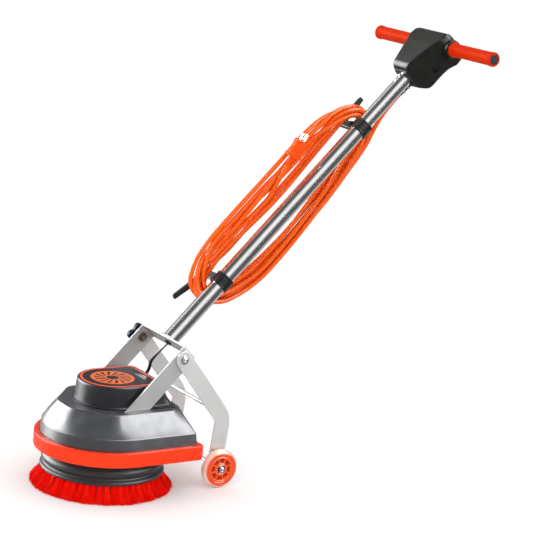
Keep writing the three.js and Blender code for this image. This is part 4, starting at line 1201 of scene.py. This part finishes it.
def plug_pieces():
    """The plug's body and blades, at the cord's end."""
    place = (HANDLE @ Matrix.Translation(CORD_FINISH[-1]) @ Matrix.Rotation(math.radians(23), 4, "X")
             @ Matrix.Rotation(math.radians(13), 4, "Y"))
    collar = plate(fillet(block(12, 20), 6, 6), 25, 31, 1.4, 3)
    rings = [at_height(fillet(block(x, y), corner, 6), z) for x, y, corner, z in (
        (9.6, 15.2, 5, 30.4), (9.9, 15.6, 5, 34), (9.2, 14.2, 5, 44), (9.4, 14.6, 5, 50),
        (10.4, 15.8, 5, 60), (10.4, 15.8, 5, 66), (9.9, 15.3, 5, 67.6), (9, 14.4, 4.5, 68.2))]
    ribs = [plate(fillet(block(10.3, 16.1 - k * 0.25), 5, 6), 38 + 4.2 * k, 40 + 4.2 * k)
            for k in range(4)]
    body = merged(relief_part(0, 26, 5.2, 7.4, 5), collar, skin(rings), *ribs)
    plug = piece("plug_moulding", body, place, "handle", plug_orange, ["plug_body"])
    blade = fillet([(-3.2, 67), (3.2, 67), (3.2, 84, 1.5), (1.6, 86, 1), (-1.6, 86, 1),
                    (-3.2, 84, 1.5)], 0.3, 3)
    blades = [turned_to(UPRIGHT, plate(blade, y - 0.75, y + 0.75, 0.25)) for y in (-6.3, 6.3)]
    pin = lathe(fillet([(CORE, 67), (2.4, 67), (2.4, 87.5, 1.6), (CORE, 89, 1)], 0.2, 4), 32)
    pins = piece("plug_blades", merged(*blades, shifted(pin, 4.6)), place, "handle",
                 bright_steel, ["plug_pins"])
    return [plug, pins]


def power_cord(with_pieces):
    points = even_steps(smooth_path(settled(wound_route()), 3), STEP)
    curve = bpy.data.curves.new("power_cord_line", "CURVE")
    curve.dimensions = "3D"
    curve.bevel_depth = CORD_D / 2 * MM
    curve.bevel_resolution = 4
    curve.use_fill_caps = True
    spline = curve.splines.new("POLY")
    spline.points.add(len(points) - 1)
    for point, place in zip(spline.points, points):
        point.co = (*metres(HANDLE, place), 1)
    curve.materials.append(CORD)
    cord = added("power_cord_line", curve)
    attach(cord, "handle")
    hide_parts("power_cord", "cord_hank")


def cord_relief():
    handle_piece("cord_relief_boot", shifted(relief_part(822, 39, 5.6, 8.3, 6), *RELIEF),
                 hard_black, ["cord_strain_relief"])


MOTOR_CABLE = [
    (-52, 118, 230), (-52, 126, 230), (-50, 132, 238), (-44, 132, 250), (-34, 128, 264), (-20, 128, 280),
    (-8, 136, 298), (-2, 143, 309), (0, 148, 316),
]


LEAD_D, LEAD_APART = 3.9, 2.15


def motor_cables():
    """Two leads from the cover up into the bridge."""
    line = even_steps(smooth_path(MOTOR_CABLE, 12), 2.0)
    for sign, name in SIDES:
        path = []
        for k, p in enumerate(line):
            twist = 0.5 + 2.2 * (k / (len(line) - 1))
            apart = np.array((math.cos(twist), math.sin(twist) * 0.7, -0.5 * math.sin(twist)))
            path.append(p + sign * LEAD_APART * apart)
        tube = swept(path, circle(LEAD_D / 2, 20), up=(1, 0, 0))
        lead = plain_piece(f"motor_lead_{name}", tube, BASE, cable_rubber)
        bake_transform(lead)
        if name == "left":
            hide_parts("motor_cable")


power_cord(plug_pieces())
cord_relief()
motor_cables()

# ---- Floor and light ----
def floor():
    shade = Shade("floor", (0.955, 0.955, 0.955), 0.8, Specular_IOR_Level=0.0)
    shade.colour(shade.mix(shade.noise(1.2, 3), (0.95, 0.95, 0.95), (0.96, 0.96, 0.96)))
    shade.roughness(shade.noise(3, 3), 0.05)
    shade.bump(shade.noise(60, 3), 0.01)
    mesh = bpy.data.meshes.new("floor")
    mesh.from_pydata([(x, y, -0.0005) for x, y in block(30, 30)], [], [(0, 1, 2, 3)])
    mesh.materials.append(shade.material)
    ground = added("floor", mesh)
    ground.visible_glossy = False


def key_light():
    data = bpy.data.lights.new("key", "AREA")
    data.shape = "RECTANGLE"
    data.size, data.size_y = 1.5, 1.0
    data.energy = KEY_WATTS
    light = added("key", data)
    light.location = (2.4, -2.2, 3.2)
    light.rotation_euler = (Vector((0, 0, 0.5)) - light.location).to_track_quat("-Z", "Y").to_euler()
    light.visible_glossy = False


# Three long soft boxes beside the handle: degrees round its axis, width in degrees, brightness
STRIPS = [(-105, 60, 0.6), (30, 50, 1.1), (140, 40, 0.8)]
STRIP_EDGE, BETWEEN_STRIPS = 30, 0.12  # degrees of its soft edge, and brightness between them
STRIP_MIDDLE, STRIP_FULL, STRIP_END = 0.25, 0.14, 0.25  # cosines along the handle's axis
FLOOR_GLOW, REST_OF_ROOM, HORIZON = 0.40, 0.30, 0.12  # brightness, and the cosine where they meet
WHITE_ROOM, KEY_WATTS = 1.06, 26
SOFT_BOXES = [  # direction, cosines of its soft edge from outside in, brightness
    ((0.68, 0.54, 0.50), 0.86, 0.94, 12.0),
    ((0.0, 0.50, 0.87), 0.88, 0.95, 8.0),
    ((-0.76, -0.56, 0.33), 0.80, 0.95, 19.0),
]


def world():
    """A white room for the eye and for soft light; reflections see strip boxes along the handle."""
    made = bpy.data.worlds.new("studio")
    made.use_nodes = True
    tree = made.node_tree
    white = tree.nodes["Background"]
    white.inputs["Color"].default_value = (1, 1, 1, 1)
    white.inputs["Strength"].default_value = WHITE_ROOM

    def node(kind, *sources, output=0, **values):
        return add_node(tree, kind, dict(enumerate(sources)), **values).outputs[output]

    where = node("ShaderNodeTexCoord", output="Generated")

    def along(axis):
        return node("ShaderNodeVectorMath", where, tuple(axis), operation="DOT_PRODUCT", output="Value")

    across, rear, up = (HANDLE.to_3x3().col[k].normalized() for k in range(3))
    angle = node("ShaderNodeMath", along(-rear), along(across), operation="ARCTAN2")
    share = node("ShaderNodeMath", angle, 1 / (2 * math.pi), 0.5, operation="MULTIPLY_ADD")
    ramp = add_node(tree, "ShaderNodeValToRGB", {0: share})
    stops = ramp.color_ramp.elements
    for stop in stops:
        stop.color = (BETWEEN_STRIPS, BETWEEN_STRIPS, BETWEEN_STRIPS, 1)
    for middle, width, bright in STRIPS:
        for side in (-1, 1):
            for past, level in ((-STRIP_EDGE / 2, bright), (STRIP_EDGE / 2, BETWEEN_STRIPS)):
                stop = stops.new((middle + side * (width / 2 + past)) / 360 + 0.5)
                stop.color = (level, level, level, 1)
    off = node("ShaderNodeMath", along(up), STRIP_MIDDLE, operation="SUBTRACT")
    off = node("ShaderNodeMath", off, operation="ABSOLUTE")
    part = node("ShaderNodeMapRange", off, STRIP_FULL, STRIP_END, 1.0, 0.0)
    rest = node("ShaderNodeMath", 1.0, part, operation="SUBTRACT")
    room = node("ShaderNodeMapRange", along((0, 0, 1)), -HORIZON, HORIZON, FLOOR_GLOW, REST_OF_ROOM)
    total = add_node(tree, "ShaderNodeMix", {"Factor": part, 6: room, 7: ramp.outputs[0]},
                     data_type="RGBA").outputs[2]
    for direction, edge, full, bright in SOFT_BOXES:
        box = node("ShaderNodeMapRange", along(Vector(direction).normalized()), edge, full, 0.0, bright,
                   interpolation_type="SMOOTHSTEP")
        box = node("ShaderNodeMath", box, rest, operation="MULTIPLY")
        total = node("ShaderNodeVectorMath", total, box, operation="ADD", output="Vector")
    boxes = node("ShaderNodeBackground", total)
    glossy = node("ShaderNodeLightPath", output="Is Glossy Ray")
    seen = node("ShaderNodeMixShader", glossy, white.outputs[0], boxes)
    tree.links.new(seen, tree.nodes["World Output"].inputs["Surface"])
    made.cycles.sampling_method = "NONE"
    scene.world = made


scene.view_settings.view_transform = "Standard"
world()
floor()
key_light()
